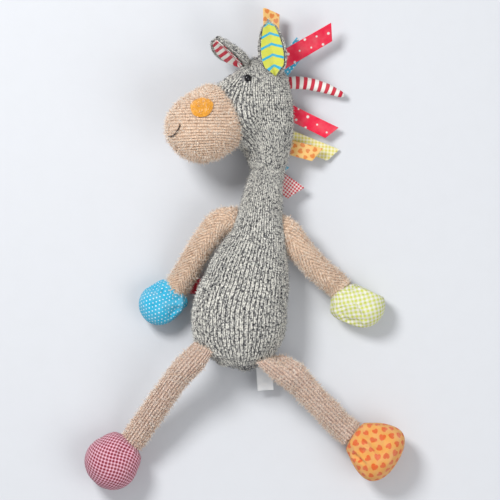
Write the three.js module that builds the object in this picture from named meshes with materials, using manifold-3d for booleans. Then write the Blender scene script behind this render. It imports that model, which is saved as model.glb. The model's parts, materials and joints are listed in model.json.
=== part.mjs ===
// Long-necked plush animal lying on its back, its head turned to one side.
// Millimetres. +Z points up out of the belly, +Y towards the head, and the origin is the middle of
// the flat that the surface under it presses into the back. Left and right are as seen from above.

import * as THREE from "three";
import { mergeVertices } from "three/addons/utils/BufferGeometryUtils.js";
import Module from "manifold-3d";

// Cloth
const SEAM_GAP = 0.3;
const KNIT = 2.2;
const COTTON = 1.4;
const FELT = 1.3;
const TAB_THICKNESS = 1.6;
const FLATTENING = 0.5;

// Body, heights measured up from the seat
const SEAT_ROUND = 45;
const BELLY_HEIGHT = 70;
const WAIST_HEIGHT = 108;
const SHOULDER_HEIGHT = 144;
const NECK_HEIGHT = 184;
const BELLY_WIDTH = 89;
const BELLY_DEPTH = 74;
const WAIST_WIDTH = 66;
const WAIST_DEPTH = 58;
const SHOULDER_WIDTH = 46;
const SHOULDER_DEPTH = 43;
const NECK_DIAMETER = 30;
const WAIST_LEAN = 8.5;
const SHOULDER_LEAN = 16;
const NECK_LEAN = 26;
const SHOULDER_RISE = 32;
const NECK_RISE = 27;
const NECK_SWING = 20;

// Head, in its own frame at the neck joint: forward is -X, up is +Y
const HEAD_TURN = 25;
const SKULL_HEIGHT = 112;
const SKULL_LENGTH = 55;
const SKULL_WIDTH = 53;
const NAPE_LENGTH = 41;
const FACE_DROP = 24;
const FOREHEAD_DEPTH = 72;
const MUZZLE_SEAM_REACH = 44;
const MUZZLE_SEAM_HEIGHT = 55;
const MUZZLE_SEAM_DEPTH = 57;
const MUZZLE_LENGTH = 79;
const MUZZLE_DEPTH = 71;
const MUZZLE_WIDTH = 66;
const MUZZLE_SET_BACK = 21;
const MUZZLE_SLOPE = 0.17;
const NOSTRIL_DIAMETER = 21;
const MOUTH_WIDTH = 36;
const MOUTH_DROP = 13;
const MOUTH_THREAD = 1.2;
const EYE_DIAMETER = 7;
const EYE_HEIGHT = 92;
const EYE_FORWARD = 30;
const EYE_STEM = 2.4;
const EYE_STEM_LENGTH = 9;
const WASHER_DIAMETER = 11;
const WASHER_THICKNESS = 1.4;

// Ears
const EAR_LENGTH = 53;
const EAR_WIDTH = 30;
const EAR_CUP = 5;
const EAR_BACK = 2.4;
const EAR_LINING = 1.2;
const EAR_DROP = 19;
const FAR_EAR_FORWARD = 9.5;

// Mane, neck tab and tail
const CROWN_TAB_WIDTH = 17;
const NAPE_TAB_WIDTH = 14.5;
const SMALL_TAB_WIDTH = 8;
const CROWN_ORANGE_LENGTH = 47.5;
const CROWN_RED_LENGTH = 62;
const CROWN_BLUE_LENGTH = 28;
const NAPE_RED_LENGTH = 43;
const YELLOW_LENGTH = 44.5;
const NAPE_ORANGE_LENGTH = 27;
const NAPE_BLUE_LENGTH = 9;
const TAB_SKEW = 3.5;
const TAB_LAYER = 2.5;
const STRAND_LENGTH = 52;
const STRAND_DIAMETER = 11.5;
const STRAND_RISE = 15;
const STRAND_SAG = 11;
const NECK_TAB_WIDTH = 16;
const NECK_TAB_LENGTH = 15.5;
const NECK_TAB_DROP = 13.5;
const NECK_TAB_SINK = 7;
const TAIL_HEIGHT = 76;
const TAIL_RED_RISE = 10;
const TAIL_RED_WIDTH = 14;
const TAIL_RED_LENGTH = 15;
const TAIL_ORANGE_RISE = 14;
const TAIL_ORANGE_WIDTH = 9;
const TAIL_ORANGE_LENGTH = 7;

// Arms and hands
const LEFT_ARM_LENGTH = 62;
const LEFT_ARM_DIAMETER = 22;
const LEFT_ARM_HEADING = -122;
const LEFT_ARM_BOW = 5;
const RIGHT_ARM_LENGTH = 66;
const RIGHT_ARM_DIAMETER = 23;
const RIGHT_ARM_HEADING = -46.5;
const RIGHT_ARM_BOW = 1;
const LEFT_ARM_SEAM_HEIGHT = 134;
const RIGHT_ARM_SEAM_HEIGHT = 127;
const ARM_SEAM_RISE = 10;
const LEFT_HAND_LENGTH = 53;
const LEFT_HAND_WIDTH = 36;
const LEFT_HAND_HEEL = 31;
const LEFT_HAND_SET_OFF = 18;
const LEFT_HAND_THICKNESS = 36;
const LEFT_HAND_HEADING = -143;
const RIGHT_HAND_LENGTH = 53;
const RIGHT_HAND_WIDTH = 43;
const RIGHT_HAND_HEEL = 34;
const RIGHT_HAND_SET_OFF = 14;
const RIGHT_HAND_THICKNESS = 38;
const RIGHT_HAND_HEADING = -10;
const HAND_HEEL_ROUND = 13;
const HAND_TIP_ROUND = 18;
const WRIST_RISE = 17;
const HAND_SWING = 18;

// Legs and feet
const LEFT_LEG_LENGTH = 108;
const LEFT_LEG_DIAMETER = 25;
const LEFT_LEG_HEADING = -127.5;
const RIGHT_LEG_LENGTH = 101;
const RIGHT_LEG_DIAMETER = 26.5;
const RIGHT_LEG_HEADING = -43;
const LEG_SEAM = 2;
const LEG_SWELL = 30;
const LEFT_HIP_OUT = 32;
const LEFT_HIP_DOWN = 33;
const RIGHT_HIP_OUT = 27;
const RIGHT_HIP_DOWN = 42;
const LEFT_FOOT_LENGTH = 56;
const LEFT_FOOT_WIDTH = 54;
const LEFT_FOOT_HEEL = 48;
const LEFT_FOOT_HEEL_ROUND = 22;
const LEFT_FOOT_TOE_ROUND = 23;
const LEFT_FOOT_HEADING = -134;
const LEFT_FOOT_SET_OFF = 20;
const RIGHT_FOOT_LENGTH = 52;
const RIGHT_FOOT_WIDTH = 58;
const RIGHT_FOOT_HEEL = 33;
const RIGHT_FOOT_HEEL_ROUND = 9;
const RIGHT_FOOT_TOE_ROUND = 14;
const RIGHT_FOOT_HEADING = -33;
const RIGHT_FOOT_SET_OFF = 17;
const FOOT_THICKNESS = 50;
const ANKLE_RISE = 24;
const FOOT_SWING = 18;

// Openings through which the stuffing runs from one cover into the next
const NECK_OPENING = 12;
const LIMB_OPENING = 8;

// Care label
const LABEL_LENGTH = 38;
const LABEL_WIDTH = 15;
const LABEL_CLOTH = 0.6;
const LABEL_FOLD = 3;
const LABEL_OUT = 24;
const LABEL_HEIGHT = 24;
const LABEL_TUCK = 4;

const wasm = await Module();
wasm.setup();

const UP = new THREE.Vector3(0, 0, 1);
const vec = (x, y, z) => new THREE.Vector3(x, y, z);
const radians = THREE.MathUtils.degToRad;
const heading = (degrees) => vec(Math.cos(radians(degrees)), Math.sin(radians(degrees)), 0);
const moved = (point, direction, distance) => point.clone().addScaledVector(direction, distance);

// Closed surface over a row of rings. A ring of one point closes its end; a full ring is capped.
function skin(rings) {
  const positions = [];
  const index = [];
  const starts = rings.map((ring) => {
    const start = positions.length / 3;
    ring.forEach((point) => positions.push(point.x, point.y, point.z));
    return start;
  });
  const corner = (i, j) => starts[i] + (j % rings[i].length);
  for (let i = 0; i + 1 < rings.length; i += 1) {
    const sides = Math.max(rings[i].length, rings[i + 1].length);
    for (let j = 0; j < sides; j += 1) {
      if (rings[i].length > 1) index.push(corner(i, j), corner(i, j + 1), corner(i + 1, j));
      if (rings[i + 1].length > 1) index.push(corner(i, j + 1), corner(i + 1, j + 1), corner(i + 1, j));
    }
  }
  const cap = (i, flip) => {
    if (rings[i].length === 1) return;
    for (let j = 1; j + 1 < rings[i].length; j += 1) {
      const pair = flip ? [corner(i, j + 1), corner(i, j)] : [corner(i, j), corner(i, j + 1)];
      index.push(corner(i, 0), ...pair);
    }
  };
  cap(0, true);
  cap(rings.length - 1, false);
  const geometry = new THREE.BufferGeometry();
  geometry.setAttribute("position", new THREE.Float32BufferAttribute(positions, 3));
  geometry.setIndex(index);
  return geometry;
}

function toSolid(geometry) {
  const bare = geometry.clone();
  bare.deleteAttribute("normal");
  bare.deleteAttribute("uv");
  const merged = mergeVertices(bare, 1e-3);
  const mesh = new wasm.Mesh({
    numProp: 3,
    vertProperties: new Float32Array(merged.attributes.position.array),
    triVerts: new Uint32Array(merged.index.array),
  });
  return new wasm.Manifold(mesh);
}

function toGeometry(solid) {
  const mesh = solid.getMesh();
  const geometry = new THREE.BufferGeometry();
  geometry.setAttribute("position", new THREE.BufferAttribute(mesh.vertProperties.slice(), 3));
  geometry.setIndex(new THREE.BufferAttribute(mesh.triVerts.slice(), 1));
  geometry.computeVertexNormals();
  return geometry;
}

// Smooth value through the given stations, constant beyond the first and the last.
function along(places, values) {
  const curve = new THREE.CubicInterpolant(places, values, 1);
  const last = places[places.length - 1];
  return (place) => curve.evaluate(THREE.MathUtils.clamp(place, places[0], last))[0];
}

// A stuffed form: ellipses carried along a spine of stations, with a dome beyond a rounded end.
function stuffed(stations, { across, startRound = 0, endRound = 0 }) {
  const spine = new THREE.CatmullRomCurve3(stations.map((station) => station.at));
  const pieces = 40;
  const lengths = spine.getLengths(pieces * (stations.length - 1));
  const places = stations.map((station, i) => lengths[i * pieces]);
  return {
    spine,
    across,
    startRound,
    endRound,
    length: places[places.length - 1],
    halfWidth: along(places, stations.map((station) => station.width / 2)),
    halfDepth: along(places, stations.map((station) => station.depth / 2)),
  };
}

// Solid of a form, grown or shrunk all round; `detail` counts its sides, dome rings and middle rings.
function solidOf(form, detail, grow = 0, startReach = 0, endReach = 0) {
  const rows = [];
  const dome = (round, base, sign) => {
    for (let k = 0; k < detail.dome; k += 1) {
      const angle = (Math.PI / 2) * (k / detail.dome);
      rows.push({ distance: base + sign * (round + grow) * Math.cos(angle), share: Math.sin(angle) });
    }
  };
  if (form.startRound) dome(form.startRound, 0, -1);
  const middle = form.length + startReach + endReach;
  for (let k = 0; k <= detail.rings; k += 1) {
    rows.push({ distance: (middle * k) / detail.rings - startReach, share: 1 });
  }
  if (form.endRound) {
    const count = rows.length;
    dome(form.endRound, form.length, 1);
    rows.push(...rows.splice(count).reverse());
  }
  const rings = rows.map(({ distance, share }) => {
    const reach = THREE.MathUtils.clamp(distance / form.length, 0, 1);
    const tangent = form.spine.getTangentAt(reach);
    const centre = form.spine.getPointAt(reach);
    centre.addScaledVector(tangent, distance - reach * form.length);
    if (share < 1e-6) return [centre];
    const wide = moved(form.across, tangent, -form.across.dot(tangent)).normalize();
    const deep = tangent.clone().cross(wide);
    const halfWidth = (form.halfWidth(distance) + grow) * share;
    const halfDepth = (form.halfDepth(distance) + grow) * share;
    return Array.from({ length: detail.sides }, (unused, j) => {
      const angle = (2 * Math.PI * j) / detail.sides;
      return moved(moved(centre, wide, halfWidth * Math.cos(angle)), deep, halfDepth * Math.sin(angle));
    });
  });
  return toSolid(skin(rings));
}

const turnTo = (axis) => new THREE.Quaternion().setFromUnitVectors(vec(0, 1, 0), axis);

// A geometry made along +Y, set with that axis along `axis` and its origin at `point`.
function placed(geometry, point, axis) {
  return geometry.clone().applyQuaternion(turnTo(axis)).translate(point.x, point.y, point.z);
}

function rod(point, axis, radius, from, to, sides = 12) {
  const geometry = new THREE.CylinderGeometry(radius, radius, to - from, sides);
  return toSolid(placed(geometry.translate(0, (from + to) / 2, 0), point, axis));
}

// Everything behind the plane through `point` that faces `normal`.
function behind(point, normal) {
  const size = 600;
  return toSolid(placed(new THREE.BoxGeometry(size, size, size).translate(0, -size / 2, 0), point, normal));
}

// Room for a domed limb end of the given radius that swings either way about `pivot`.
function socket(pivot, back, radius, swing) {
  const angle = radians(swing);
  const top = radius * Math.cos(angle);
  const start = -radius * Math.sin(angle);
  const end = 2.2 * radius;
  const mouth = top + (end - start) * Math.tan(angle);
  const sides = 12;
  const flats = 1 / Math.cos(Math.PI / sides) ** 1.5;
  const ball = toSolid(placed(new THREE.SphereGeometry(radius * flats, sides, sides / 2), pivot, back));
  const cone = new THREE.CylinderGeometry(mouth * flats, top * flats, end - start, sides);
  cone.translate(0, (start + end) / 2, 0);
  return ball.add(toSolid(placed(cone, pivot, back)));
}

// Where a ray meets the outside of a solid, and the direction that spot faces.
function seat(solid, origin, direction) {
  const ray = new THREE.Raycaster(origin, direction.clone().normalize());
  const [hit] = ray.intersectObject(new THREE.Mesh(toGeometry(solid), new THREE.MeshBasicMaterial()));
  return { point: hit.point, normal: hit.face.normal.clone() };
}

const fabric = (color, roughness = 0.95) =>
  new THREE.MeshStandardMaterial({ color, roughness, metalness: 0 });
const greyKnit = fabric(0x8f8d86);
const beigeKnit = fabric(0xc9a27a);
const filling = fabric(0xf1efe9);
const blackPlastic = fabric(0x0b0b0d, 0.12);
const whitePlastic = fabric(0xe9e9e6, 0.4);
const orangeFelt = fabric(0xf2a132);
const brownThread = fabric(0x4a3325, 0.8);
const limeCotton = fabric(0xd4da52);
const stripedCotton = fabric(0xe0576b);
const orangeCotton = fabric(0xf6ab56);
const redCotton = fabric(0xd62f4a);
const blueCotton = fabric(0x3bb7df);
const yellowCotton = fabric(0xe3e695);
const ginghamCotton = fabric(0xd9607a);
const whiteSatin = fabric(0xf7f7f5, 0.55);

const toy = new THREE.Group();
toy.name = "plush_animal";

// Lines that the sewn joints bend about, in the toy's own frame.
toy.userData.hinges = {};
function hinge(name, point, axis, frame = new THREE.Matrix4()) {
  const place = point.clone().applyMatrix4(frame);
  toy.userData.hinges[name] = { point: place, axis: axis.clone().transformDirection(frame) };
}

function add(group, name, shape, material) {
  const geometry = shape.isBufferGeometry ? shape : toGeometry(shape);
  geometry.computeVertexNormals();
  const mesh = new THREE.Mesh(geometry, material);
  mesh.name = name;
  group.add(mesh);
  return mesh;
}

// Body: a knitted pear that runs up into the neck, open at the neck, and the stuffing inside it
const seatY = -SEAT_ROUND - 9;
const bellyRise = BELLY_DEPTH / 2 - FLATTENING;
const shoulderMiddle = vec(SHOULDER_LEAN, seatY + SHOULDER_HEIGHT, SHOULDER_RISE);
const neckPivot = vec(NECK_LEAN, seatY + NECK_HEIGHT, NECK_RISE);
const bodyForm = stuffed(
  [
    { at: vec(0, seatY + SEAT_ROUND, bellyRise), width: BELLY_WIDTH, depth: BELLY_DEPTH },
    { at: vec(0.5, seatY + BELLY_HEIGHT, bellyRise), width: BELLY_WIDTH - 3, depth: BELLY_DEPTH - 1 },
    { at: vec(WAIST_LEAN, seatY + WAIST_HEIGHT, bellyRise - 2), width: WAIST_WIDTH, depth: WAIST_DEPTH },
    { at: shoulderMiddle, width: SHOULDER_WIDTH, depth: SHOULDER_DEPTH },
    { at: neckPivot, width: NECK_DIAMETER, depth: NECK_DIAMETER },
  ],
  { across: vec(1, 0, 0), startRound: SEAT_ROUND, endRound: NECK_DIAMETER / 2 },
);
const bodyDetail = { sides: 18, dome: 4, rings: 8 };
const surface = (height) => behind(vec(0, 0, height), UP);
const neckAxis = bodyForm.spine.getTangentAt(1);
const bodyOuter = solidOf(bodyForm, bodyDetail).subtract(surface(0));
const bodyRoom = solidOf(bodyForm, bodyDetail, SEAM_GAP);
const bodyInner = solidOf(bodyForm, bodyDetail, -KNIT).subtract(surface(KNIT));
const neckHole = rod(neckPivot, neckAxis, NECK_OPENING / 2, NECK_DIAMETER / 4, NECK_DIAMETER);
add(toy, "body_cover", bodyOuter.subtract(bodyInner).subtract(neckHole), greyKnit);

const stuffing = (form, wall, detail) => solidOf(form, detail, -wall - SEAM_GAP);
const bodyFilling = stuffing(bodyForm, KNIT, bodyDetail).subtract(surface(KNIT + SEAM_GAP));
add(toy, "body_filling", bodyFilling, filling);

// Head: skull and face as one knitted cover, open at the neck and at the muzzle seam
const head = new THREE.Group();
head.position.copy(neckPivot);
head.rotation.y = radians(HEAD_TURN);
head.updateMatrix();
toy.add(head);
const toHead = head.matrix.clone().invert();
hinge("neck", neckPivot, UP);
const inHead = (solid) => solid.transform(toHead.elements);

const crown = SKULL_HEIGHT - 34;
const skullForm = stuffed(
  [
    { at: vec(0, 0.5, 0), width: NECK_DIAMETER + 1, depth: NECK_DIAMETER + 1 },
    { at: vec(3, crown * 0.31, 0), width: NAPE_LENGTH, depth: NAPE_LENGTH },
    { at: vec(-1, crown * 0.69, 0), width: SKULL_LENGTH, depth: SKULL_WIDTH },
    { at: vec(-4, crown, 0), width: SKULL_LENGTH, depth: SKULL_WIDTH },
  ],
  { across: vec(1, 0, 0), endRound: SKULL_HEIGHT - crown },
);
const forward = vec(-Math.cos(radians(FACE_DROP)), -Math.sin(radians(FACE_DROP)), 0);
const muzzleSeam = vec(-MUZZLE_SEAM_REACH, MUZZLE_SEAM_HEIGHT, 0);
const faceForm = stuffed(
  [
    { at: moved(muzzleSeam, forward, -MUZZLE_SEAM_REACH), width: FOREHEAD_DEPTH, depth: SKULL_WIDTH - 4 },
    { at: muzzleSeam, width: MUZZLE_SEAM_DEPTH, depth: MUZZLE_SEAM_DEPTH - 3 },
  ],
  { across: vec(0, 1, 0) },
);
const muzzleMiddle = moved(muzzleSeam, forward, MUZZLE_SET_BACK);
const muzzleForm = stuffed(
  [
    { at: moved(muzzleMiddle, forward, -6), width: MUZZLE_DEPTH, depth: MUZZLE_WIDTH },
    { at: moved(muzzleMiddle, forward, 6), width: MUZZLE_DEPTH, depth: MUZZLE_WIDTH },
  ],
  { across: vec(0, 1, 0), startRound: MUZZLE_LENGTH / 2 - 6, endRound: MUZZLE_LENGTH / 2 - 6 },
);
const skullDetail = { sides: 16, dome: 4, rings: 5 };
const faceDetail = { sides: 16, dome: 0, rings: 2 };
const muzzleDetail = { sides: 18, dome: 4, rings: 1 };
const headSocket = (wall) => {
  const radius = NECK_DIAMETER / 2 + SEAM_GAP + wall;
  return inHead(socket(neckPivot, neckAxis.clone().negate(), radius, NECK_SWING));
};
const headBlank = (grow, faceReach) =>
  solidOf(skullForm, skullDetail, grow).add(solidOf(faceForm, faceDetail, grow, 0, faceReach));
const headOuter = headBlank(0, 0).subtract(headSocket(0)).subtract(inHead(surface(0)));
const headInner = headBlank(-KNIT, 8).subtract(headSocket(KNIT)).subtract(inHead(surface(KNIT)));
const pastSeam = behind(moved(muzzleSeam, forward, SEAM_GAP), forward);

// The ball of the muzzle, drawn in at its upper front where the face slopes down to it.
const slopeFacing = vec(-0.68, 0.73, 0).normalize();
const muzzleSolid = (grow) =>
  solidOf(muzzleForm, muzzleDetail, grow).warp((point) => {
    const away = vec(...point).sub(muzzleMiddle);
    const share = Math.max(0, away.clone().normalize().dot(slopeFacing)) ** 5;
    away.multiplyScalar(1 - MUZZLE_SLOPE * share).add(muzzleMiddle).toArray(point);
  });
const muzzleOuter = muzzleSolid(0);
const muzzleInner = muzzleSolid(-KNIT);

// Eyes: a black dome on a stem, pushed through the knit into a washer
const eyeRadius = EYE_DIAMETER / 2;
const eyeProfile = [
  new THREE.Vector2(0, -EYE_STEM_LENGTH),
  new THREE.Vector2(EYE_STEM / 2, -EYE_STEM_LENGTH),
  new THREE.Vector2(EYE_STEM / 2, 0),
  new THREE.Vector2(eyeRadius, 0),
];
for (let k = 1; k <= 4; k += 1) {
  const angle = (Math.PI / 2) * (k / 4);
  eyeProfile.push(new THREE.Vector2(eyeRadius * Math.cos(angle), 0.75 * eyeRadius * Math.sin(angle)));
}
const eyeGeometry = new THREE.LatheGeometry(eyeProfile, 10);
const washerDepth = KNIT + 1.7;
const washerProfile = [
  new THREE.Vector2(EYE_STEM / 2 + 0.2, -washerDepth - WASHER_THICKNESS),
  new THREE.Vector2(WASHER_DIAMETER / 2, -washerDepth - WASHER_THICKNESS),
  new THREE.Vector2(WASHER_DIAMETER / 2, -washerDepth),
  new THREE.Vector2(EYE_STEM / 2 + 0.2, -washerDepth),
];
washerProfile.push(washerProfile[0].clone());
const washerGeometry = new THREE.LatheGeometry(washerProfile, 10);
const eyeSeat = (side) => {
  const start = vec(-EYE_FORWARD, EYE_HEIGHT, side * 200);
  return seat(headBlank(0, 0), start, vec(0, 0, -side));
};

let headCover = headOuter.subtract(headInner);
const neckMouth = inHead(rod(neckPivot, neckAxis, NECK_OPENING / 2, NECK_DIAMETER / 4, NECK_DIAMETER));
headCover = headCover.subtract(neckMouth);
let headFilling = headBlank(-KNIT - SEAM_GAP, 8)
  .subtract(headSocket(KNIT + SEAM_GAP))
  .subtract(inHead(surface(KNIT + SEAM_GAP)))
  .add(muzzleSolid(-KNIT - SEAM_GAP).subtract(pastSeam));
for (const [side, which] of [[1, "near"], [-1, "far"]]) {
  const { point, normal } = eyeSeat(side);
  const spot = moved(point, normal, SEAM_GAP);
  const bore = EYE_STEM / 2 + SEAM_GAP;
  const pocketFloor = -Math.max(EYE_STEM_LENGTH, washerDepth + WASHER_THICKNESS) - SEAM_GAP;
  headCover = headCover.subtract(rod(spot, normal, bore, -KNIT - 6, 6));
  headFilling = headFilling.subtract(rod(spot, normal, WASHER_DIAMETER / 2 + SEAM_GAP, pocketFloor, 6));
  const eye = add(head, `${which}_eye`, eyeGeometry.clone(), blackPlastic);
  const washer = add(head, `${which}_eye_washer`, washerGeometry.clone(), whitePlastic);
  for (const piece of [eye, washer]) {
    piece.position.copy(spot);
    piece.quaternion.copy(turnTo(normal));
  }
}
add(head, "head_cover", headCover, greyKnit);
add(head, "head_filling", headFilling, filling);
add(head, "muzzle_cover", muzzleOuter.subtract(muzzleInner).subtract(pastSeam), beigeKnit);

// Nostrils: felt discs that follow the muzzle
const feltSheet = muzzleSolid(1.5 * SEAM_GAP + FELT).subtract(muzzleSolid(1.5 * SEAM_GAP));
for (const [side, which] of [[1, "near"], [-1, "far"]]) {
  const facing = vec(-0.3, 0.5, 0.85 * side).normalize();
  const disc = rod(moved(muzzleMiddle, facing, 12), facing, NOSTRIL_DIAMETER / 2, 0, MUZZLE_LENGTH, 16);
  add(head, `${which}_nostril`, feltSheet.intersect(disc), orangeFelt);
}

// Mouth: one thread laid across the front of the muzzle
const mouthPoints = [];
for (let k = -4; k <= 4; k += 1) {
  const across = (MOUTH_WIDTH / 2) * (k / 4);
  const height = muzzleMiddle.y - MOUTH_DROP * (1 - (k / 4) ** 2);
  const { point, normal } = seat(muzzleOuter, vec(-300, height, across), vec(1, 0, 0));
  mouthPoints.push(moved(point, normal, 1.5 * SEAM_GAP + MOUTH_THREAD / 2));
}
const threadShape = new THREE.Shape().absarc(0, 0, MOUTH_THREAD / 2, 0, 2 * Math.PI, false);
const mouthThread = new THREE.ExtrudeGeometry(threadShape, {
  steps: 12,
  curveSegments: 3,
  extrudePath: new THREE.CatmullRomCurve3(mouthPoints),
});
add(head, "mouth_thread", mouthThread, brownThread);

// A cupped leaf: from its narrow foot to its tip, the open side facing `facing`.
function leaf(foot, direction, facing, width, from, to, inside, outside) {
  const open = moved(facing, direction, -facing.dot(direction)).normalize();
  const across = open.clone().cross(direction);
  const rings = [];
  const steps = 6;
  const half = 3;
  for (let i = 0; i <= steps; i += 1) {
    const share = from + (to - from) * (i / steps);
    const spread = 0.16 + 0.84 * Math.sin(Math.PI * Math.min(share, 1) ** 0.8) ** 0.75;
    const reach = (width / 2) * (share > 0.9 ? spread * (1 - 5 * (share - 0.9)) : spread);
    const middle = moved(foot, direction, EAR_LENGTH * share);
    const edge = (step, lift) => {
      const place = step / half;
      const raised = lift + EAR_CUP * spread * place ** 2;
      return moved(moved(middle, across, reach * place), open, raised);
    };
    const ring = [];
    for (let step = half; step >= -half; step -= 1) ring.push(edge(step, inside));
    for (let step = -half; step <= half; step += 1) ring.push(edge(step, outside));
    rings.push(ring);
  }
  return skin(rings);
}

function ear(name, anchor, aim, facing, lining) {
  const direction = aim.clone().normalize();
  const { point } = seat(headOuter, moved(anchor, direction, 200), direction.clone().negate());
  const foot = moved(point, direction, 2 * SEAM_GAP + 1.2 * EAR_BACK);
  const inside = EAR_BACK / 2;
  add(head, `${name}_ear_back`, leaf(foot, direction, facing, EAR_WIDTH, 0, 1, inside, -inside), greyKnit);
  const face = inside + SEAM_GAP + EAR_LINING;
  const cloth = leaf(foot, direction, facing, 0.8 * EAR_WIDTH, 0.1, 0.95, face, inside + SEAM_GAP);
  add(head, `${name}_ear_lining`, cloth, lining);
  hinge(`${name}_ear`, foot, facing.clone().cross(direction).normalize(), head.matrix);
}
const nearEarSpot = vec(0, SKULL_HEIGHT - EAR_DROP, 0.415 * SKULL_WIDTH);
const farEarSpot = vec(-FAR_EAR_FORWARD, SKULL_HEIGHT - EAR_DROP, -SKULL_WIDTH / 3);
ear("near", nearEarSpot, vec(-0.22, 1, 0.22), vec(-0.42, 0, 0.9), limeCotton);
ear("far", farEarSpot, vec(-0.72, 0.56, 0.4), vec(-0.5, -0.8, -0.1), stripedCotton);

// A cloth tab with a rounded sewn edge. The edge runs along `edge`, the tab leaves along `direction`.
function tab({ foot, direction, edge, width, length, skew }) {
  const across = moved(edge, direction, -edge.dot(direction)).normalize();
  const face = direction.clone().cross(across);
  const footSkew = edge.dot(direction) / edge.dot(across);
  const half = TAB_THICKNESS / 2;
  const rows = [
    { distance: -half, thick: 0.35 },
    { distance: -half / 2, thick: 0.85 },
    { distance: 0, thick: 1 },
  ];
  for (let k = 1; k <= 4; k += 1) rows.push({ distance: (length * k) / 4, thick: 1 });
  const rings = rows.map(({ distance, thick }) => {
    const middle = moved(foot, direction, distance);
    const slant = THREE.MathUtils.lerp((footSkew * width) / 2, skew, Math.max(0, distance) / length);
    const corner = (side, lift) => {
      const place = moved(moved(middle, across, (side * width) / 2), direction, side * slant);
      return moved(place, face, lift * half * thick);
    };
    return [corner(1, -1), corner(1, 1), corner(-1, 1), corner(-1, -1)];
  });
  return skin(rings);
}

// Mane: tabs sewn into the seam down the back of the head. `from` is the angle round the head that a
// tab is sewn at and `lead` the angle it leaves at, both up from straight back; `layer` is its place
// across the seam; `slope` tips it out of the plane of the seam; `skew` slants its far end.
const crownTab = { width: CROWN_TAB_WIDTH, skew: TAB_SKEW };
const napeTab = { width: NAPE_TAB_WIDTH, skew: TAB_SKEW };
const smallTab = { width: SMALL_TAB_WIDTH, skew: TAB_SKEW / 4 };
const mane = {
  crown_orange_tab: {
    ...crownTab, from: 83, lead: 91, layer: 0, slope: -6,
    length: CROWN_ORANGE_LENGTH, cloth: orangeCotton,
  },
  crown_red_tab: {
    ...crownTab, from: 80, lead: 32, layer: 2, slope: 12,
    length: CROWN_RED_LENGTH, cloth: redCotton,
  },
  crown_blue_tab: {
    ...crownTab, from: 69, lead: 51, layer: -1.2, slope: 4,
    length: CROWN_BLUE_LENGTH, cloth: blueCotton,
  },
  nape_red_tab: {
    ...napeTab, from: 7, lead: -26, layer: 0.4, slope: 10,
    length: NAPE_RED_LENGTH, cloth: redCotton,
  },
  yellow_tab: {
    ...napeTab, from: -37, lead: -22, layer: -1.4, slope: 10,
    length: YELLOW_LENGTH, cloth: yellowCotton,
  },
  nape_orange_tab: {
    ...napeTab, from: -52, lead: -16, layer: 1.2, slope: 16,
    length: NAPE_ORANGE_LENGTH, cloth: orangeCotton,
  },
  nape_blue_tab: {
    ...smallTab, from: -67, lead: -35, layer: -0.8, slope: 14,
    length: NAPE_BLUE_LENGTH, cloth: blueCotton,
  },
};
const maneHub = vec(0, 0.5 * SKULL_HEIGHT, 0);
for (const [name, { from, lead, layer, slope, cloth, ...cut }] of Object.entries(mane)) {
  const ray = heading(from);
  const hub = moved(maneHub, vec(0, 0, 1), layer * TAB_LAYER);
  const { point, normal } = seat(headOuter, moved(hub, ray, 300), ray.clone().negate());
  const out = vec(normal.x, normal.y, 0).normalize();
  const edge = vec(-out.y, out.x, 0);
  const direction = heading(lead).multiplyScalar(Math.cos(radians(slope)));
  direction.z = Math.sin(radians(slope));
  const foot = moved(point, normal, SEAM_GAP + 0.2 + TAB_THICKNESS / 2);
  hinge(name, foot, edge, head.matrix);
  add(head, name, tab({ foot, direction, edge, ...cut }), cloth);
}

// Mane strand: a narrow stuffed cone of striped cotton
const strandRay = heading(50);
const strandSeat = seat(headOuter, moved(maneHub, strandRay, 300), strandRay.clone().negate());
const strandFoot = moved(strandSeat.point, strandSeat.normal, SEAM_GAP + STRAND_DIAMETER / 12);
const strandPoint = (share, drop) => {
  const place = moved(strandFoot, heading(0), STRAND_LENGTH * share);
  return vec(place.x, place.y - drop, place.z + STRAND_RISE * share);
};
const strandGirth = (at, width, depth) => ({
  at,
  width: STRAND_DIAMETER * width,
  depth: STRAND_DIAMETER * depth,
});
const strandForm = stuffed(
  [
    strandGirth(strandFoot, 1, 0.25),
    strandGirth(strandPoint(0.25, 0), 1, 0.85),
    strandGirth(strandPoint(0.6, 0.36 * STRAND_SAG), 0.9, 0.85),
    strandGirth(strandPoint(0.94, STRAND_SAG), 0.5, 0.5),
  ],
  { across: vec(0, 1, 0), endRound: STRAND_DIAMETER / 4 },
);
hinge("striped_strand", strandFoot, vec(0, 1, 0), head.matrix);
add(head, "striped_strand", solidOf(strandForm, { sides: 10, dome: 2, rings: 7 }), stripedCotton);

// Arms: stuffed tubes with a domed shoulder against the body and a domed end in the hand
const limbDetail = { sides: 12, dome: 3, rings: 4 };
const pouchDetail = { sides: 14, dome: 3, rings: 2 };
const hollow = (outer, form, wall, hole, detail) =>
  outer.subtract(solidOf(form, detail, -wall)).subtract(hole);

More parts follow.
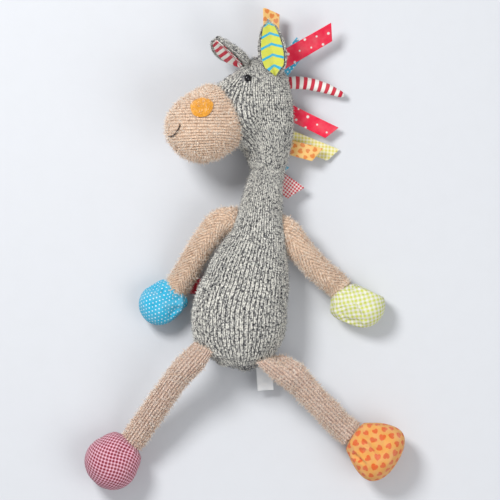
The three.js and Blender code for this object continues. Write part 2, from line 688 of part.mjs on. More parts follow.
// Hand or foot: a stuffed pouch that widens from `heel` to `width`, hollowed for the end of its limb.
function pouch(name, limb, cut) {
  const { middle, axis, length, heel, width, thickness, heelRound, toeRound, swing, cloth } = cut;
  const start = moved(middle, axis, heelRound - length / 2);
  const end = moved(middle, axis, length / 2 - toeRound);
  const form = stuffed(
    [
      { at: start, width: heel, depth: thickness * Math.sqrt(heel / width) },
      { at: start.clone().lerp(end, 0.5), width: (heel + 3 * width) / 4, depth: thickness },
      { at: end, width, depth: thickness },
    ],
    { across: UP.clone().cross(axis), startRound: heelRound, endRound: toeRound },
  );
  const room = (wall) =>
    socket(limb.end, limb.axis.clone().negate(), limb.radius + SEAM_GAP + wall, swing);
  const outer = solidOf(form, pouchDetail).subtract(surface(0)).subtract(room(0));
  const inner = solidOf(form, pouchDetail, -COTTON).subtract(surface(COTTON)).subtract(room(COTTON));
  const mouth = rod(limb.end, limb.axis, LIMB_OPENING / 2, limb.radius / 2, limb.radius + COTTON + 3);
  add(toy, `${name}_cover`, outer.subtract(inner).subtract(mouth), cloth);
  const wall = COTTON + SEAM_GAP;
  const core = stuffing(form, COTTON, pouchDetail);
  add(toy, `${name}_filling`, core.subtract(surface(wall)).subtract(room(wall)), filling);
}

function arm(name, side, { seamHeight, length, diameter, aim, bow, hand }) {
  const shoulderSpot = vec(SHOULDER_LEAN + side * 200, seatY + seamHeight, SHOULDER_RISE + ARM_SEAM_RISE);
  const { point, normal } = seat(bodyOuter, shoulderSpot, vec(-side, 0, 0));
  const pivot = moved(point, normal, diameter / 2 + SEAM_GAP);
  const direction = heading(aim);
  const end = moved(pivot, direction, length);
  end.z = WRIST_RISE;
  const middle = pivot.clone().lerp(end, 0.5);
  middle.addScaledVector(UP.clone().cross(direction), side * bow);
  const form = stuffed(
    [
      { at: pivot, width: diameter, depth: diameter },
      { at: middle, width: diameter * 0.98, depth: diameter * 0.98 },
      { at: end, width: diameter * 0.94, depth: diameter * 0.94 },
    ],
    { across: UP.clone().cross(direction), startRound: diameter / 2, endRound: diameter * 0.47 },
  );
  const axis = form.spine.getTangentAt(1);
  const limb = { end, axis, radius: diameter * 0.47 };
  const hole = rod(end, axis, LIMB_OPENING / 2, limb.radius / 2, limb.radius + 3);
  add(toy, `${name}_arm_cover`, hollow(solidOf(form, limbDetail), form, KNIT, hole, limbDetail), beigeKnit);
  add(toy, `${name}_arm_filling`, stuffing(form, KNIT, limbDetail), filling);
  const pouchAxis = heading(hand.heading);
  const handMiddle = moved(end, direction, limb.radius + hand.setOff);
  handMiddle.z = hand.thickness / 2 - FLATTENING;
  const rounds = { heelRound: HAND_HEEL_ROUND, toeRound: HAND_TIP_ROUND };
  const place = { middle: handMiddle, axis: pouchAxis, swing: HAND_SWING };
  pouch(`${name}_hand`, limb, { ...hand, ...rounds, ...place });
  hinge(`${name}_shoulder`, pivot, vec(direction.y, -direction.x, 0));
  hinge(`${name}_wrist`, end, UP);
}

arm("left", -1, {
  seamHeight: LEFT_ARM_SEAM_HEIGHT,
  length: LEFT_ARM_LENGTH,
  diameter: LEFT_ARM_DIAMETER,
  aim: LEFT_ARM_HEADING,
  bow: LEFT_ARM_BOW,
  hand: {
    length: LEFT_HAND_LENGTH,
    heel: LEFT_HAND_HEEL,
    width: LEFT_HAND_WIDTH,
    thickness: LEFT_HAND_THICKNESS,
    heading: LEFT_HAND_HEADING,
    setOff: LEFT_HAND_SET_OFF,
    cloth: blueCotton,
  },
});
arm("right", 1, {
  seamHeight: RIGHT_ARM_SEAM_HEIGHT,
  length: RIGHT_ARM_LENGTH,
  diameter: RIGHT_ARM_DIAMETER,
  aim: RIGHT_ARM_HEADING,
  bow: RIGHT_ARM_BOW,
  hand: {
    length: RIGHT_HAND_LENGTH,
    heel: RIGHT_HAND_HEEL,
    width: RIGHT_HAND_WIDTH,
    thickness: RIGHT_HAND_THICKNESS,
    heading: RIGHT_HAND_HEADING,
    setOff: RIGHT_HAND_SET_OFF,
    cloth: yellowCotton,
  },
});

// Legs: stuffed tubes pressed flat where they are sewn to the front of the seat
function leg(name, { out, down, length, diameter, aim, foot }) {
  const { point, normal } = seat(bodyOuter, vec(out, -down, 300), vec(0, 0, -1));
  const direction = heading(aim);
  const root = moved(point, normal, LEG_SEAM / 2 + SEAM_GAP);
  const end = moved(vec(point.x, point.y, 0), direction, length);
  end.z = ANKLE_RISE;
  const lip = moved(root, vec(normal.x, normal.y, 0).normalize(), LEG_SWELL / 4);
  const swell = moved(lip, direction, 0.75 * LEG_SWELL);
  swell.z = THREE.MathUtils.lerp(root.z, end.z, 0.16);
  const seamLine = vec(normal.y, -normal.x, 0).normalize();
  const form = stuffed(
    [
      { at: root, width: diameter, depth: LEG_SEAM },
      { at: lip, width: diameter, depth: 0.7 * LEG_SEAM + 0.25 * diameter },
      { at: swell, width: diameter, depth: diameter * 0.9 },
      { at: swell.clone().lerp(end, 0.5), width: diameter, depth: diameter },
      { at: end, width: diameter, depth: diameter },
    ],
    { across: seamLine, endRound: diameter / 2 },
  );
  const axis = form.spine.getTangentAt(1);
  const limb = { end, axis, radius: diameter / 2 };
  const outer = solidOf(form, limbDetail).subtract(bodyRoom);
  const cavity = (wall) => solidOf(form, limbDetail, -wall, -LEG_SWELL * 0.55, 0);
  const hole = rod(end, axis, LIMB_OPENING / 2, limb.radius / 2, limb.radius + 3);
  add(toy, `${name}_leg_cover`, outer.subtract(cavity(KNIT)).subtract(hole), beigeKnit);
  add(toy, `${name}_leg_filling`, cavity(KNIT + SEAM_GAP), filling);
  const pouchAxis = heading(foot.heading);
  const footMiddle = moved(end, pouchAxis, limb.radius + foot.setOff);
  footMiddle.z = FOOT_THICKNESS / 2 - FLATTENING;
  const place = { middle: footMiddle, axis: pouchAxis, thickness: FOOT_THICKNESS, swing: FOOT_SWING };
  pouch(`${name}_foot`, limb, { ...foot, ...place });
  hinge(`${name}_hip`, root, seamLine);
  hinge(`${name}_ankle`, end, UP);
}

leg("left", {
  out: -LEFT_HIP_OUT,
  down: LEFT_HIP_DOWN,
  length: LEFT_LEG_LENGTH,
  diameter: LEFT_LEG_DIAMETER,
  aim: LEFT_LEG_HEADING,
  foot: {
    length: LEFT_FOOT_LENGTH,
    heel: LEFT_FOOT_HEEL,
    width: LEFT_FOOT_WIDTH,
    heelRound: LEFT_FOOT_HEEL_ROUND,
    toeRound: LEFT_FOOT_TOE_ROUND,
    heading: LEFT_FOOT_HEADING,
    setOff: LEFT_FOOT_SET_OFF,
    cloth: ginghamCotton,
  },
});
leg("right", {
  out: RIGHT_HIP_OUT,
  down: RIGHT_HIP_DOWN,
  length: RIGHT_LEG_LENGTH,
  diameter: RIGHT_LEG_DIAMETER,
  aim: RIGHT_LEG_HEADING,
  foot: {
    length: RIGHT_FOOT_LENGTH,
    heel: RIGHT_FOOT_HEEL,
    width: RIGHT_FOOT_WIDTH,
    heelRound: RIGHT_FOOT_HEEL_ROUND,
    toeRound: RIGHT_FOOT_TOE_ROUND,
    heading: RIGHT_FOOT_HEADING,
    setOff: RIGHT_FOOT_SET_OFF,
    cloth: orangeCotton,
  },
});

// Gingham tab on the neck, below the head
const neckTabSpot = vec(300, seatY + NECK_HEIGHT - NECK_TAB_DROP, NECK_RISE - NECK_TAB_SINK);
const neckTabSeat = seat(bodyOuter, neckTabSpot, vec(-1, 0, 0));
const neckTabOut = vec(neckTabSeat.normal.x, neckTabSeat.normal.y, 0).normalize();
const neckTabFoot = moved(neckTabSeat.point, neckTabSeat.normal, SEAM_GAP + 0.2 + TAB_THICKNESS / 2);
const neckTabEdge = vec(-neckTabOut.y, neckTabOut.x, 0);
hinge("neck_gingham_tab", neckTabFoot, neckTabEdge);
const neckTab = tab({
  foot: neckTabFoot,
  direction: heading(-35).multiplyScalar(0.97).add(vec(0, 0, -0.243)),
  edge: neckTabEdge,
  width: NECK_TAB_WIDTH,
  length: NECK_TAB_LENGTH,
  skew: TAB_SKEW,
});
add(toy, "neck_gingham_tab", neckTab, ginghamCotton);

// Tail: two cloth tabs sewn low on the left of the back
const tail = {
  tail_red_tab: {
    rise: TAIL_RED_RISE, lead: 182,
    width: TAIL_RED_WIDTH, length: TAIL_RED_LENGTH, cloth: redCotton,
  },
  tail_orange_tab: {
    rise: TAIL_ORANGE_RISE, lead: 186,
    width: TAIL_ORANGE_WIDTH, length: TAIL_ORANGE_LENGTH, cloth: orangeCotton,
  },
};
for (const [name, { rise, width, length, lead, cloth }] of Object.entries(tail)) {
  const { point, normal } = seat(bodyOuter, vec(-300, seatY + TAIL_HEIGHT, rise), vec(1, 0, 0));
  const foot = moved(point, normal, SEAM_GAP + 0.2 + TAB_THICKNESS / 2);
  const direction = heading(lead).multiplyScalar(0.96).add(vec(0, 0, -0.28));
  const edge = vec(-normal.y, normal.x, 0).normalize();
  hinge(name, foot, edge);
  add(toy, name, tab({ foot, direction, edge, width, length, skew: TAB_SKEW / 4 }), cloth);
}

// Care label: a folded loop of satin in the seat seam
const fold = LABEL_FOLD / 2;
const labelShape = new THREE.Shape();
labelShape.moveTo(0, -fold);
labelShape.lineTo(LABEL_LENGTH - fold, -fold);
labelShape.absarc(LABEL_LENGTH - fold, 0, fold, -Math.PI / 2, Math.PI / 2, false);
labelShape.lineTo(0, fold);
labelShape.lineTo(0, fold - LABEL_CLOTH);
labelShape.lineTo(LABEL_LENGTH - fold, fold - LABEL_CLOTH);
labelShape.absarc(LABEL_LENGTH - fold, 0, fold - LABEL_CLOTH, Math.PI / 2, -Math.PI / 2, true);
labelShape.lineTo(0, LABEL_CLOTH - fold);
const labelGeometry = new THREE.ExtrudeGeometry(labelShape, {
  depth: LABEL_WIDTH,
  bevelEnabled: false,
  curveSegments: 6,
});
labelGeometry.translate(0, 0, -LABEL_WIDTH / 2);
const labelSeat = seat(bodyOuter, vec(LABEL_OUT, -300, LABEL_HEIGHT), vec(0, 1, 0));
const labelDirection = vec(0.06, -0.93, -0.36).normalize();
const labelAcross = vec(1, 0.1, 0);
labelAcross.addScaledVector(labelDirection, -labelAcross.dot(labelDirection)).normalize();
const labelFace = labelAcross.clone().cross(labelDirection);
const labelPlace = new THREE.Matrix4().makeBasis(labelDirection, labelFace, labelAcross);
labelPlace.setPosition(moved(labelSeat.point, labelDirection, -LABEL_TUCK));
labelGeometry.applyMatrix4(labelPlace);
add(toy, "care_label", toSolid(labelGeometry).subtract(bodyRoom), whiteSatin);

toy.updateMatrixWorld(true);
export default toy;
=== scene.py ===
"""Dresses a long-necked plush animal in marled knit, brushed knit, printed cotton, felt and stuffing.

Left and right are as seen from above; near and far are the two sides of the head that is turned to the left.
"""

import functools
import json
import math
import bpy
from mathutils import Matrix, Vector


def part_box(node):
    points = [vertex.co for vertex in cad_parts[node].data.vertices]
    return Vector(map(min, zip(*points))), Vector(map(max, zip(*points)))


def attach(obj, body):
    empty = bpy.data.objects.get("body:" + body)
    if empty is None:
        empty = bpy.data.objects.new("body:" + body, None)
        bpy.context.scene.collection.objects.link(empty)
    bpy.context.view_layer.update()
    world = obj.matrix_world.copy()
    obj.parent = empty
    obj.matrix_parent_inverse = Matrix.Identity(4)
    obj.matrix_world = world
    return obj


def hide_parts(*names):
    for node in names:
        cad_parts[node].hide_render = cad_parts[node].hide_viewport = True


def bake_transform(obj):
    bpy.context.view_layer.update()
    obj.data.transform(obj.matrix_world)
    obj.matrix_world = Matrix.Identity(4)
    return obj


bl_info = {
    "name": "Patchwork plush animal",
    "version": (1, 0, 0),
    "blender": (4, 5, 0),
    "location": "View3D > Sidebar > Plush",
    "description": "Dresses a plush animal in knit, printed cotton, felt and stuffing",
    "category": "Object",
}

import bmesh
import bpy
import numpy as np
from mathutils import Vector, noise
from mathutils.bvhtree import BVHTree

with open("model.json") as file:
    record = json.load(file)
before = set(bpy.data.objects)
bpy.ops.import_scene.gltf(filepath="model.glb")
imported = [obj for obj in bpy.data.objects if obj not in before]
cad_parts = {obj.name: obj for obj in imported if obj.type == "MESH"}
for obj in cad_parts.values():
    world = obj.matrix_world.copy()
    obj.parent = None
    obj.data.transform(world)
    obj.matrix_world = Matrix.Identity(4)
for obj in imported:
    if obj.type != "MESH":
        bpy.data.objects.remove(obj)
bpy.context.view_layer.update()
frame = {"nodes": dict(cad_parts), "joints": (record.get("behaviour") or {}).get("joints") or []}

UV_NAME = "cloth"
FULL_TURN = 2 * math.pi
UP = np.array((0.0, 0.0, 1.0))
RIGHTWARD = np.array((1.0, 0.0, 0.0))
LEVEL = np.array((1, 1, 0))


def offset(x, y, z=0.0):
    return np.array((x, y, z))


# Lengths are in metres, turns and headings in degrees; the rest are shares, counts and seeds
FLOOR_LEVEL, FLOOR_DROP, FLOOR_HALF = 0.0002, 0.0006, 4.0
RAY_REACH = 0.4

# Knit
LOOP_DEPTH, LOOP_SINK, LOOPS_IN_ONE = 0.58, 0.15, 4900
LOOP_LEAN, LOOP_STRAY, LOOP_LEAST, LOOP_UNEVEN = 0.16, 0.14, 0.92, 0.16
# The third value is how much of the painted groove shade is taken off a knit's cover where no loops lie over it
GROUND_SINK, MUZZLE_SINK, BARE_UNSHADED, SLIM = 0.0008, 0.0009, 0.8, 0.70
BODY_HAIRS, HEAD_HAIRS, BRUSHED_HAIRS = 230000, 260000, 600000
HAIR_WIDTH, HAIR_TWIST, UNDERSIDE = 0.002, 6.28, -0.55
TUFTS, TUFT_LENGTH, TUFT_LEAN = 90000, 0.0062, 0.7
HERRINGBONE = {"left": 2.2, "right": 1.5}
# Shares of painted shade mixed into the brushed yarn where it dips between wales, on the muzzle, the arms and
# the legs; then the share of painted cool shade over the legs
MUZZLE_GROOVE_SHADE, ARM_GROOVE_SHADE, LEG_GROOVE_SHADE = 0.34, 0.36, 0.60
LEG_SHADE = 0.18
# Painted shade colours: grey and brown mixed into the yarns where they dip between wales, a blue-grey cast for
# the legs, and a shade multiplied into the hollows of the weave
GREY_SHADE, BROWN_SHADE = (0.08, 0.08, 0.09), (0.20, 0.11, 0.06)
COOL_SHADE, WEAVE_SHADE = (0.33, 0.27, 0.44), (0.32, 0.30, 0.28)
YARN_RELIEF, WEAVE_RELIEF, THREAD_PITCH = 0.0005, 0.00018, 0.00042

# Body
SEAT_ROUND = 0.045
LEAN_STARTS, BELLY_RISE, NECK_TRIM = 0.016, 0.009, 0.003
SEAT_ROWS, BODY_ROWS, BODY_COLS = 30, 84, 184
LEFT_SIDE_LEVELS = (-0.031, 0.0, 0.013, 0.026, 0.045, 0.073, 0.102, 0.130)
LEFT_SIDE_DRAWN_IN = (0.0, 0.0012, 0.0044, 0.0082, 0.0090, 0.0105, 0.0056, 0.0018)
RIGHT_SIDE_LEVELS = (-0.050, -0.041, -0.031, -0.012, 0.0, 0.026, 0.045, 0.073, 0.100, 0.130)
RIGHT_SIDE_LET_OUT = (0.0030, 0.0040, 0.0020, 0.0, 0.0010, 0.0056, 0.0070, 0.0056, 0.0020, 0.0)
SHOULDER_LEVEL, SHOULDER_SPREAD, SHOULDER_RISE = 0.085, 0.030, 0.003

# Head and face
HEAD_TURN, FACE_DROP = 25, 24
HEAD_COLS = 192
MUZZLE_SEAM = (-0.044, 0.055)
MUZZLE_RISE = offset(0.0004, 0.0028)
SKULL_ROUND = 0.034
CHIN_HEIGHTS = (0.0, 0.015, 0.020, 0.025, 0.0295, 0.035)
CHIN_REACH = (0.0150, 0.0150, 0.0172, 0.0200, 0.0246, 0.0600)
NECK_FOLD = (-0.004, 0.012)
EYE_CLEARANCE, EYE_LIFT, EYE_STEM_FOOT, EYE_RIM = 0.0046, 0.0010, -0.002, 0.0005
EYE_COLS, NOSTRIL_COLS = 28, 56
EYE_SHIFT = {"near": offset(0.0012, -0.0007), "far": np.zeros(3)}
NOSTRIL_SHIFT = {"near": offset(-0.0064, -0.0022), "far": np.zeros(3)}
FELT_CLEARANCE, FELT_THICKNESS = 0.0008, 0.0011
# Rings of a nostril from its middle out and under its edge: share of its size, share of its thickness
NOSTRIL_ROWS = ((0.25, 1.0), (0.5, 1.0), (0.72, 1.0), (0.88, 0.97), (0.96, 0.85), (1.0, 0.5), (0.985, 0.1))
MOUTH_END, MOUTH_BEND, MOUTH_HEADING = 0.42, 0.0022, -35
MOUTH_CLEARANCE, MOUTH_THREAD = 0.0013, 0.00055

# Ears: how much longer and wider than its solid each is, and how far its foot is moved
EAR_FIT = {"near": (1.06, 0.90, offset(0.0, -0.0034)), "far": (0.88, 1.25, offset(0.0026, 0.0018))}
EAR_ROLL = {"near": 0, "far": -10}
EAR_SWELL = {"near": np.zeros(3), "far": offset(0.0052, 0.0050, -0.001)}
EAR_SPAN, LINING_SPAN = (-0.08, 0.995), (0.02, 0.945)
LINING_SHARE = {"near": 0.76, "far": 0.66}
LEAF_ROWS, LEAF_COLS = 40, 72

# Tabs, strand and label
TAB_SHIFT = {
    "crown_red_tab": offset(-0.0014, -0.0020),
    "yellow_tab": offset(0.0024, -0.0018),
    "neck_gingham_tab": offset(0.0024, 0.0066),
    "nape_blue_tab": offset(-0.0058, 0.0),
    "crown_blue_tab": offset(0.0022, 0.0034),
    "tail_red_tab": offset(-0.0044, 0.0024),
    "tail_orange_tab": offset(-0.0004, -0.0010),
}
TAB_STRETCH = {"neck_gingham_tab": 1.14}
TAB_TUCK, TAB_RIPPLE, LEAST_CUT = 0.004, 0.0003, 0.01
TAB_COLS = 64
STRAND_SHIFT = offset(0.0, 0.0046)
STRAND_ROWS, STRAND_COLS = 60, 40
LABEL_THICKNESS, LABEL_TUCK, LABEL_SWAY, LABEL_CUP = 0.0003, 0.002, 0.0006, 0.0008
LABEL_TURN_STARTS, LABEL_PINCH = 0.92, 0.3
LABEL_COLS = 40

# Limbs
LIMB_COLS, LIMB_STEP, LIMB_LUMPS = 132, 0.0015, 0.0007
SLEEVE_CLOSE = 0.001
ARM_BOW, ARM_DROP = 0.0036, 0.014
ARM_ROOT, ARM_NECK = 0.019, 0.006
ARM_FOLD = (-0.010, 0.014)
ARM_SHIFT = {"left": np.zeros(3), "right": offset(-0.0010, 0.0032)}
SLEEVE_REACH = {"left": 0.0118, "right": 0.001}
LEG_HEADING = {"left": -127.5, "right": -43}
LEG_SEAM_HEADING = {"left": -26, "right": 9}
LEG_SHIFT = {"left": offset(-0.0008, 0.0), "right": offset(0.0034, -0.0026)}
LEG_BOW = {"left": np.zeros(3), "right": offset(0.0030, 0.0038)}
HIP_FLARE = {"left": 1.04, "right": 1.12}
LEG_FOLD = (0.0, 0.020)
LEG_TRIM, FLAT_ROWS = 0.0014, 15
SLANT_FADES = 0.026
SEAT_CLEARANCE, SEAT_FADES = 0.0032, 0.024

# Hands and feet
PILLOW_ROWS, PILLOW_COLS = 44, 80
POUCH_FOLD = (-0.004, 0.012)
POUCH_PRESSURE, POUCH_GIVE, POUCH_FRAMES = 3.0, 0.003, 18
POUCH_SHRINK, POUCH_RESTS_BELOW = 0.0006, 0.0015
GATHERS, GATHER_DEPTH, GATHER_PLACE, GATHER_SPREAD = 13, 0.0005, 0.004, 0.009
POUCH_SHIFT = {
    "left_hand": offset(-0.0006, 0.0040),
    "right_hand": offset(0.0024, -0.0012),
    "left_foot": offset(0.0014, 0.0008),
    "right_foot": offset(0.0019, -0.0019),
}
POUCH_PRESS = {"right_hand": ((0.1069, 0.0285, 0.0), 65.5, 0.75)}
SLEEVE_LAP = {"left_hand": 0.0065, "right_hand": 0.001, "left_foot": 0.0, "right_foot": 0.0}
POUCH_STRETCH = {
    "left_hand": (1.10, 1.08),
    "right_hand": (1.05, 1.0),
    "left_foot": (0.98, 1.0),
    "right_foot": (1.03, 1.0),
}
EVEN_OPENING = (1.25, 0.96)
POUCH_OPENS = {"left_hand": (1.8, 0.5)}
# Creases: both ends of the line, its width and its depth
RIGHT_HAND_CREASES = (
    (((0.0900, 0.0050, 0.02), (0.1050, -0.0080, 0.02)), 0.0010, 0.0012),
    (((0.1000, -0.0080, 0.02), (0.1300, -0.0075, 0.02)), 0.0009, 0.0010),
)
LEFT_FOOT_CREASES = ((((-0.1080, -0.1440, 0.03), (-0.0980, -0.1620, 0.02)), 0.0011, 0.0013),)
RIGHT_FOOT_CREASES = (
    (((0.1070, -0.1330, 0.03), (0.1220, -0.1460, 0.03)), 0.0012, 0.0036),
    (((0.1440, -0.1178, 0.03), (0.1582, -0.1160, 0.03)), 0.0009, 0.0010),
)

# Stage
KEY_PLACE, KEY_SIZE = (-0.75, 0.85, 1.5), 0.6
FILL_PLACE, FILL_SIZE = (0.9, -0.5, 1.3), 1.3
LAMP_AIM = (0.01, 0.05, 0.03)
ROOM_COLOUR = (0.95, 0.97, 1.0, 1.0)
SEES_TO = 100


def paint(red, green, blue):
    """Linear colour from the 0 to 255 values of a swatch."""
    channels = (np.array((red, green, blue)) / 255.0).tolist()
    return tuple(c / 12.92 if c <= 0.04045 else ((c + 0.055) / 1.055) ** 2.4 for c in channels)


def colour_property(label, purpose, swatch):
    return bpy.props.FloatVectorProperty(
        name=label, description=purpose, subtype="COLOR", size=3, min=0, max=1, default=paint(*swatch)
    )


def length_property(label, purpose, metres):
    return bpy.props.FloatProperty(
        name=label, description=purpose, default=metres, min=0, unit="LENGTH", precision=5
    )


def count_property(label, purpose, number):
    return bpy.props.IntProperty(name=label, description=purpose, default=number)


class PlushKnit(bpy.types.PropertyGroup):
    """Sizes and colours of the two knits."""

    body_wales: count_property("Body wales", "Columns of loops round the body", 62)
    head_wales: count_property("Head wales", "Columns of loops round the head", 72)
    ear_wales: count_property("Ear wales", "Columns of loops round an ear", 22)
    arm_wales: count_property("Arm wales", "Columns of loops round an arm", 24)
    leg_wales: count_property("Leg wales", "Columns of loops round a leg", 22)
    muzzle_wale: length_property("Muzzle wale", "Width of a column of loops on the muzzle", 0.0029)
    rib_depth: length_property("Rib depth", "How far the grooves between wales sink", 0.0009)
    wall: length_property("Knit wall", "Thickness of the knit over the stuffing", 0.0026)
    fuzz_length: length_property("Fuzz length", "Longest loose fibre of the brushed knit", 0.0040)
    halo_length: length_property("Halo length", "Longest loose fibre of the marled knit", 0.0038)
    cream: colour_property("Cream ply", "Palest ply of the marled yarn", (244, 241, 231))
    ash: colour_property("Ash ply", "Middle ply of the marled yarn", (174, 173, 169))
    soot: colour_property("Soot ply", "Darkest ply of the marled yarn", (54, 54, 59))
    sand: colour_property("Sand yarn", "Main colour of the brushed yarn", (255, 226, 198))
    oat: colour_property("Oat yarn", "Palest fibres of the brushed yarn", (255, 246, 234))
    bark: colour_property("Bark yarn", "Shaded fibres of the brushed yarn", (204, 166, 138))


class PlushCloth(bpy.types.PropertyGroup):
    """Prints and weaves of the cotton pieces."""

    hand_check: length_property("Hand check", "Repeat of the check on the hand", 0.0045)
    tab_check: length_property("Tab check", "Repeat of the check on the yellow tab", 0.0034)
    foot_check: length_property("Foot check", "Repeat of the small check on the foot", 0.0033)
    neck_check: length_property("Neck check", "Repeat of the small check on the neck tab", 0.0027)
    dot_repeat: length_property("Dot repeat", "Repeat of the small dots", 0.0036)
    pin_repeat: length_property("Pin dot repeat", "Repeat of the pin dots on red", 0.0105)
    heart_repeat: length_property("Heart repeat", "Repeat of the hearts", 0.0094)
    small_heart: length_property("Small heart repeat", "Repeat of the hearts on the tabs", 0.0066)
    ear_stripe: length_property("Ear stripe", "Repeat of the stripes in the near ear", 0.0108)
    red_stripe: length_property("Red stripe", "Repeat of the red and white stripes", 0.0072)
    tab_thickness: length_property("Tab thickness", "Thickness of a sewn tab", 0.0016)
    sky: colour_property("Sky", "Blue cotton", (46, 186, 226))
    lime: colour_property("Lime", "Lime cotton", (226, 228, 84))
    frost: colour_property("Frost", "Dots on the blue hand", (220, 241, 250))
    leaf: colour_property("Leaf", "Yellow-green of the check", (214, 222, 96))
    cherry: colour_property("Cherry", "Red cotton", (250, 32, 73))
    crimson: colour_property("Crimson", "Red of the stripes", (208, 12, 52))
    berry: colour_property("Berry", "Red of the small check", (140, 0, 33))
    blush: colour_property("Blush", "Pale of the small check", (255, 198, 218))
    maize: colour_property("Maize", "Yellow of the check on the yellow tab", (236, 226, 112))
    butter: colour_property("Butter", "Pale of the check on the yellow tab", (255, 250, 218))
    apricot: colour_property("Apricot", "Ground of the heart print", (246, 176, 88))
    peach: colour_property("Peach", "Ground of the hearts on the tabs", (253, 204, 124))
    amber: colour_property("Amber", "Hearts on the tabs", (238, 140, 64))
    rose: colour_property("Rose", "Red of the check on the neck tab", (206, 0, 54))
    ember: colour_property("Ember", "Hearts of the print", (238, 108, 44))
    felt: colour_property("Felt", "Nostril felt", (216, 146, 40))
    white: colour_property("White", "White cotton", (246, 243, 236))


class PlushStage(bpy.types.PropertyGroup):
    """Camera, light and floor."""

    picture_width: length_property("Picture width", "Width of the picture at the toy", 0.475)
    middle: bpy.props.FloatVectorProperty(
        name="Middle", description="Middle of the picture", default=(0.0109, 0.0589, 0.03), unit="LENGTH"
    )
    lens: bpy.props.FloatProperty(name="Lens", description="Focal length in millimetres", default=400, min=20)
    key_power: bpy.props.FloatProperty(name="Key", description="Main lamp", default=28, unit="POWER")
    fill_power: bpy.props.FloatProperty(name="Fill", description="Second lamp", default=10, unit="POWER")
    sky_strength: bpy.props.FloatProperty(
        name="Room light", description="Even light from all round", default=0.48
    )
    floor: colour_property("Floor", "Pale floor", (206, 208, 212))


# Node trees


class Wire:
    """A socket that plain arithmetic can be done on; each step adds a Math node."""

    def __init__(self, graph, socket):
        self.graph = graph
        self.socket = socket

    def math(self, operation, *values):
        return self.graph.math(operation, self, *values)

    def __add__(self, other):
        return self.graph.math("ADD", self, other)

    def __sub__(self, other):
        return self.graph.math("SUBTRACT", self, other)

    def __rsub__(self, other):
        return self.graph.math("SUBTRACT", other, self)

    def __mul__(self, other):
        return self.graph.math("MULTIPLY", self, other)

    __radd__ = __add__
    __rmul__ = __mul__


class Graph:
    """A node tree being built. node() sets a node's own settings first, then its sockets."""

    def __init__(self, tree):
        self.tree = tree

    def node(self, kind, settings=None, sockets=None):
        made = self.tree.nodes.new(kind)
        for name, value in (settings or {}).items():
            if name == "stops":
                self.set_stops(made.color_ramp, value)
            else:
                setattr(made, name, value)
        self.join(made, sockets or {})
        return made

    def join(self, node, sockets):
        """Gives a node's sockets, by identifier, their wires or their even values."""
        for name, value in sockets.items():
            socket = next(s for s in node.inputs if s.identifier == name)
            if isinstance(value, Wire):
                self.tree.links.new(value.socket, socket)
            else:
                socket.default_value = value

    def get(self, output, kind, settings=None, sockets=None):
        """One output of a new node."""
        return self.wire(self.node(kind, settings, sockets), output)

    @staticmethod
    def set_stops(ramp, stops):
        while len(ramp.elements) < len(stops):
            ramp.elements.new(1.0)
        for element, (place, colour) in zip(ramp.elements, stops):
            element.position = place
            element.color = (*colour, 1.0)

    def wire(self, node, output):
        return Wire(self, next(s for s in node.outputs if s.identifier == output))

    def math(self, operation, *values):
        sockets = dict(zip(("Value", "Value_001", "Value_002"), values))
        return self.get("Value", "ShaderNodeMath", {"operation": operation}, sockets)


class Cloth(Graph):
    """A material's tree, with the words that the finishes are written in."""

    def __init__(self, name):
        self.material = bpy.data.materials.new(name)
        self.material.use_nodes = True
        super().__init__(self.material.node_tree)
        self.shader = self.tree.nodes["Principled BSDF"]

    def place(self):
        return self.get("Object", "ShaderNodeTexCoord")

    def laid(self):
        """The two directions of the piece's own cloth, in metres."""
        split = self.node("ShaderNodeSeparateXYZ", None, {"Vector": self.laid_vector()})
        return self.wire(split, "X"), self.wire(split, "Y")

    def laid_vector(self):
        return self.get("UV", "ShaderNodeUVMap", {"uv_map": UV_NAME})

    def stored(self, name):
        return self.get("Fac", "ShaderNodeAttribute", {"attribute_name": name})

    def grain(self, vector, scale, detail=2.0, roughness=0.5, distortion=0.0):
        sockets = {"Vector": vector, "Scale": scale, "Detail": detail, "Roughness": roughness}
        sockets["Distortion"] = distortion
        return self.get("Fac", "ShaderNodeTexNoise", None, sockets)

    def step(self, value, low, high):
        """0 below low, 1 above high, smooth between."""
        sockets = {"Value": value, "From Min": low, "From Max": high}
        return self.get("Result", "ShaderNodeMapRange", {"interpolation_type": "SMOOTHSTEP"}, sockets)

    def mix(self, share, first, second, way="MIX"):
        def full(colour):
            return colour if isinstance(colour, Wire) else (*colour, 1.0)

        settings = {"data_type": "RGBA", "blend_type": way}
        sockets = {"Factor_Float": share, "A_Color": full(first), "B_Color": full(second)}
        return self.get("Result_Color", "ShaderNodeMix", settings, sockets)

    def ramp(self, value, stops):
        return self.get("Color", "ShaderNodeValToRGB", {"stops": stops}, {"Fac": value})

    def vector(self, x, y, z):
        return self.get("Vector", "ShaderNodeCombineXYZ", None, {"X": x, "Y": y, "Z": z})

    def chance(self, cell):
        return self.get("Value", "ShaderNodeTexWhiteNoise", {"noise_dimensions": "3D"}, {"Vector": cell})

    def finish(self, colour, height, depth, rough=0.9, sheen=0.0, shine=0.25):
        """Joins the colour and the relief to the shader; the even values sit on its own sockets."""
        heights = {"Height": height, "Distance": depth, "Strength": 1.0}
        self.join(self.shader, {
            "Base Color": colour,
            "Normal": self.get("Normal", "ShaderNodeBump", None, heights),
            "Roughness": rough,
            "Specular IOR Level": shine,
            "Sheen Weight": sheen,
            "Sheen Roughness": 0.5,
        })
        return self.material


FINISHES = {}


def finish_of(maker, *values):
    """The material that a maker function gives for these values, made once. Colours come as triples."""
    values = [v if isinstance(v, (str, int, float)) else tuple(v) for v in values]
    key = (maker.__name__, *values)
    if key not in FINISHES:
        FINISHES[key] = maker(*values)
    return FINISHES[key]


def knit_settings():
    return bpy.context.scene.plush_knit


def cloth_settings():
    return bpy.context.scene.plush_cloth


# Yarn and fibre finishes


def leg_tone(cloth):
    """A value from 0 to 1 that differs from loop to loop and between a loop's two legs."""
    return (cloth.stored("tone") * 13 + cloth.stored("leg") * 0.37).math("FRACT")


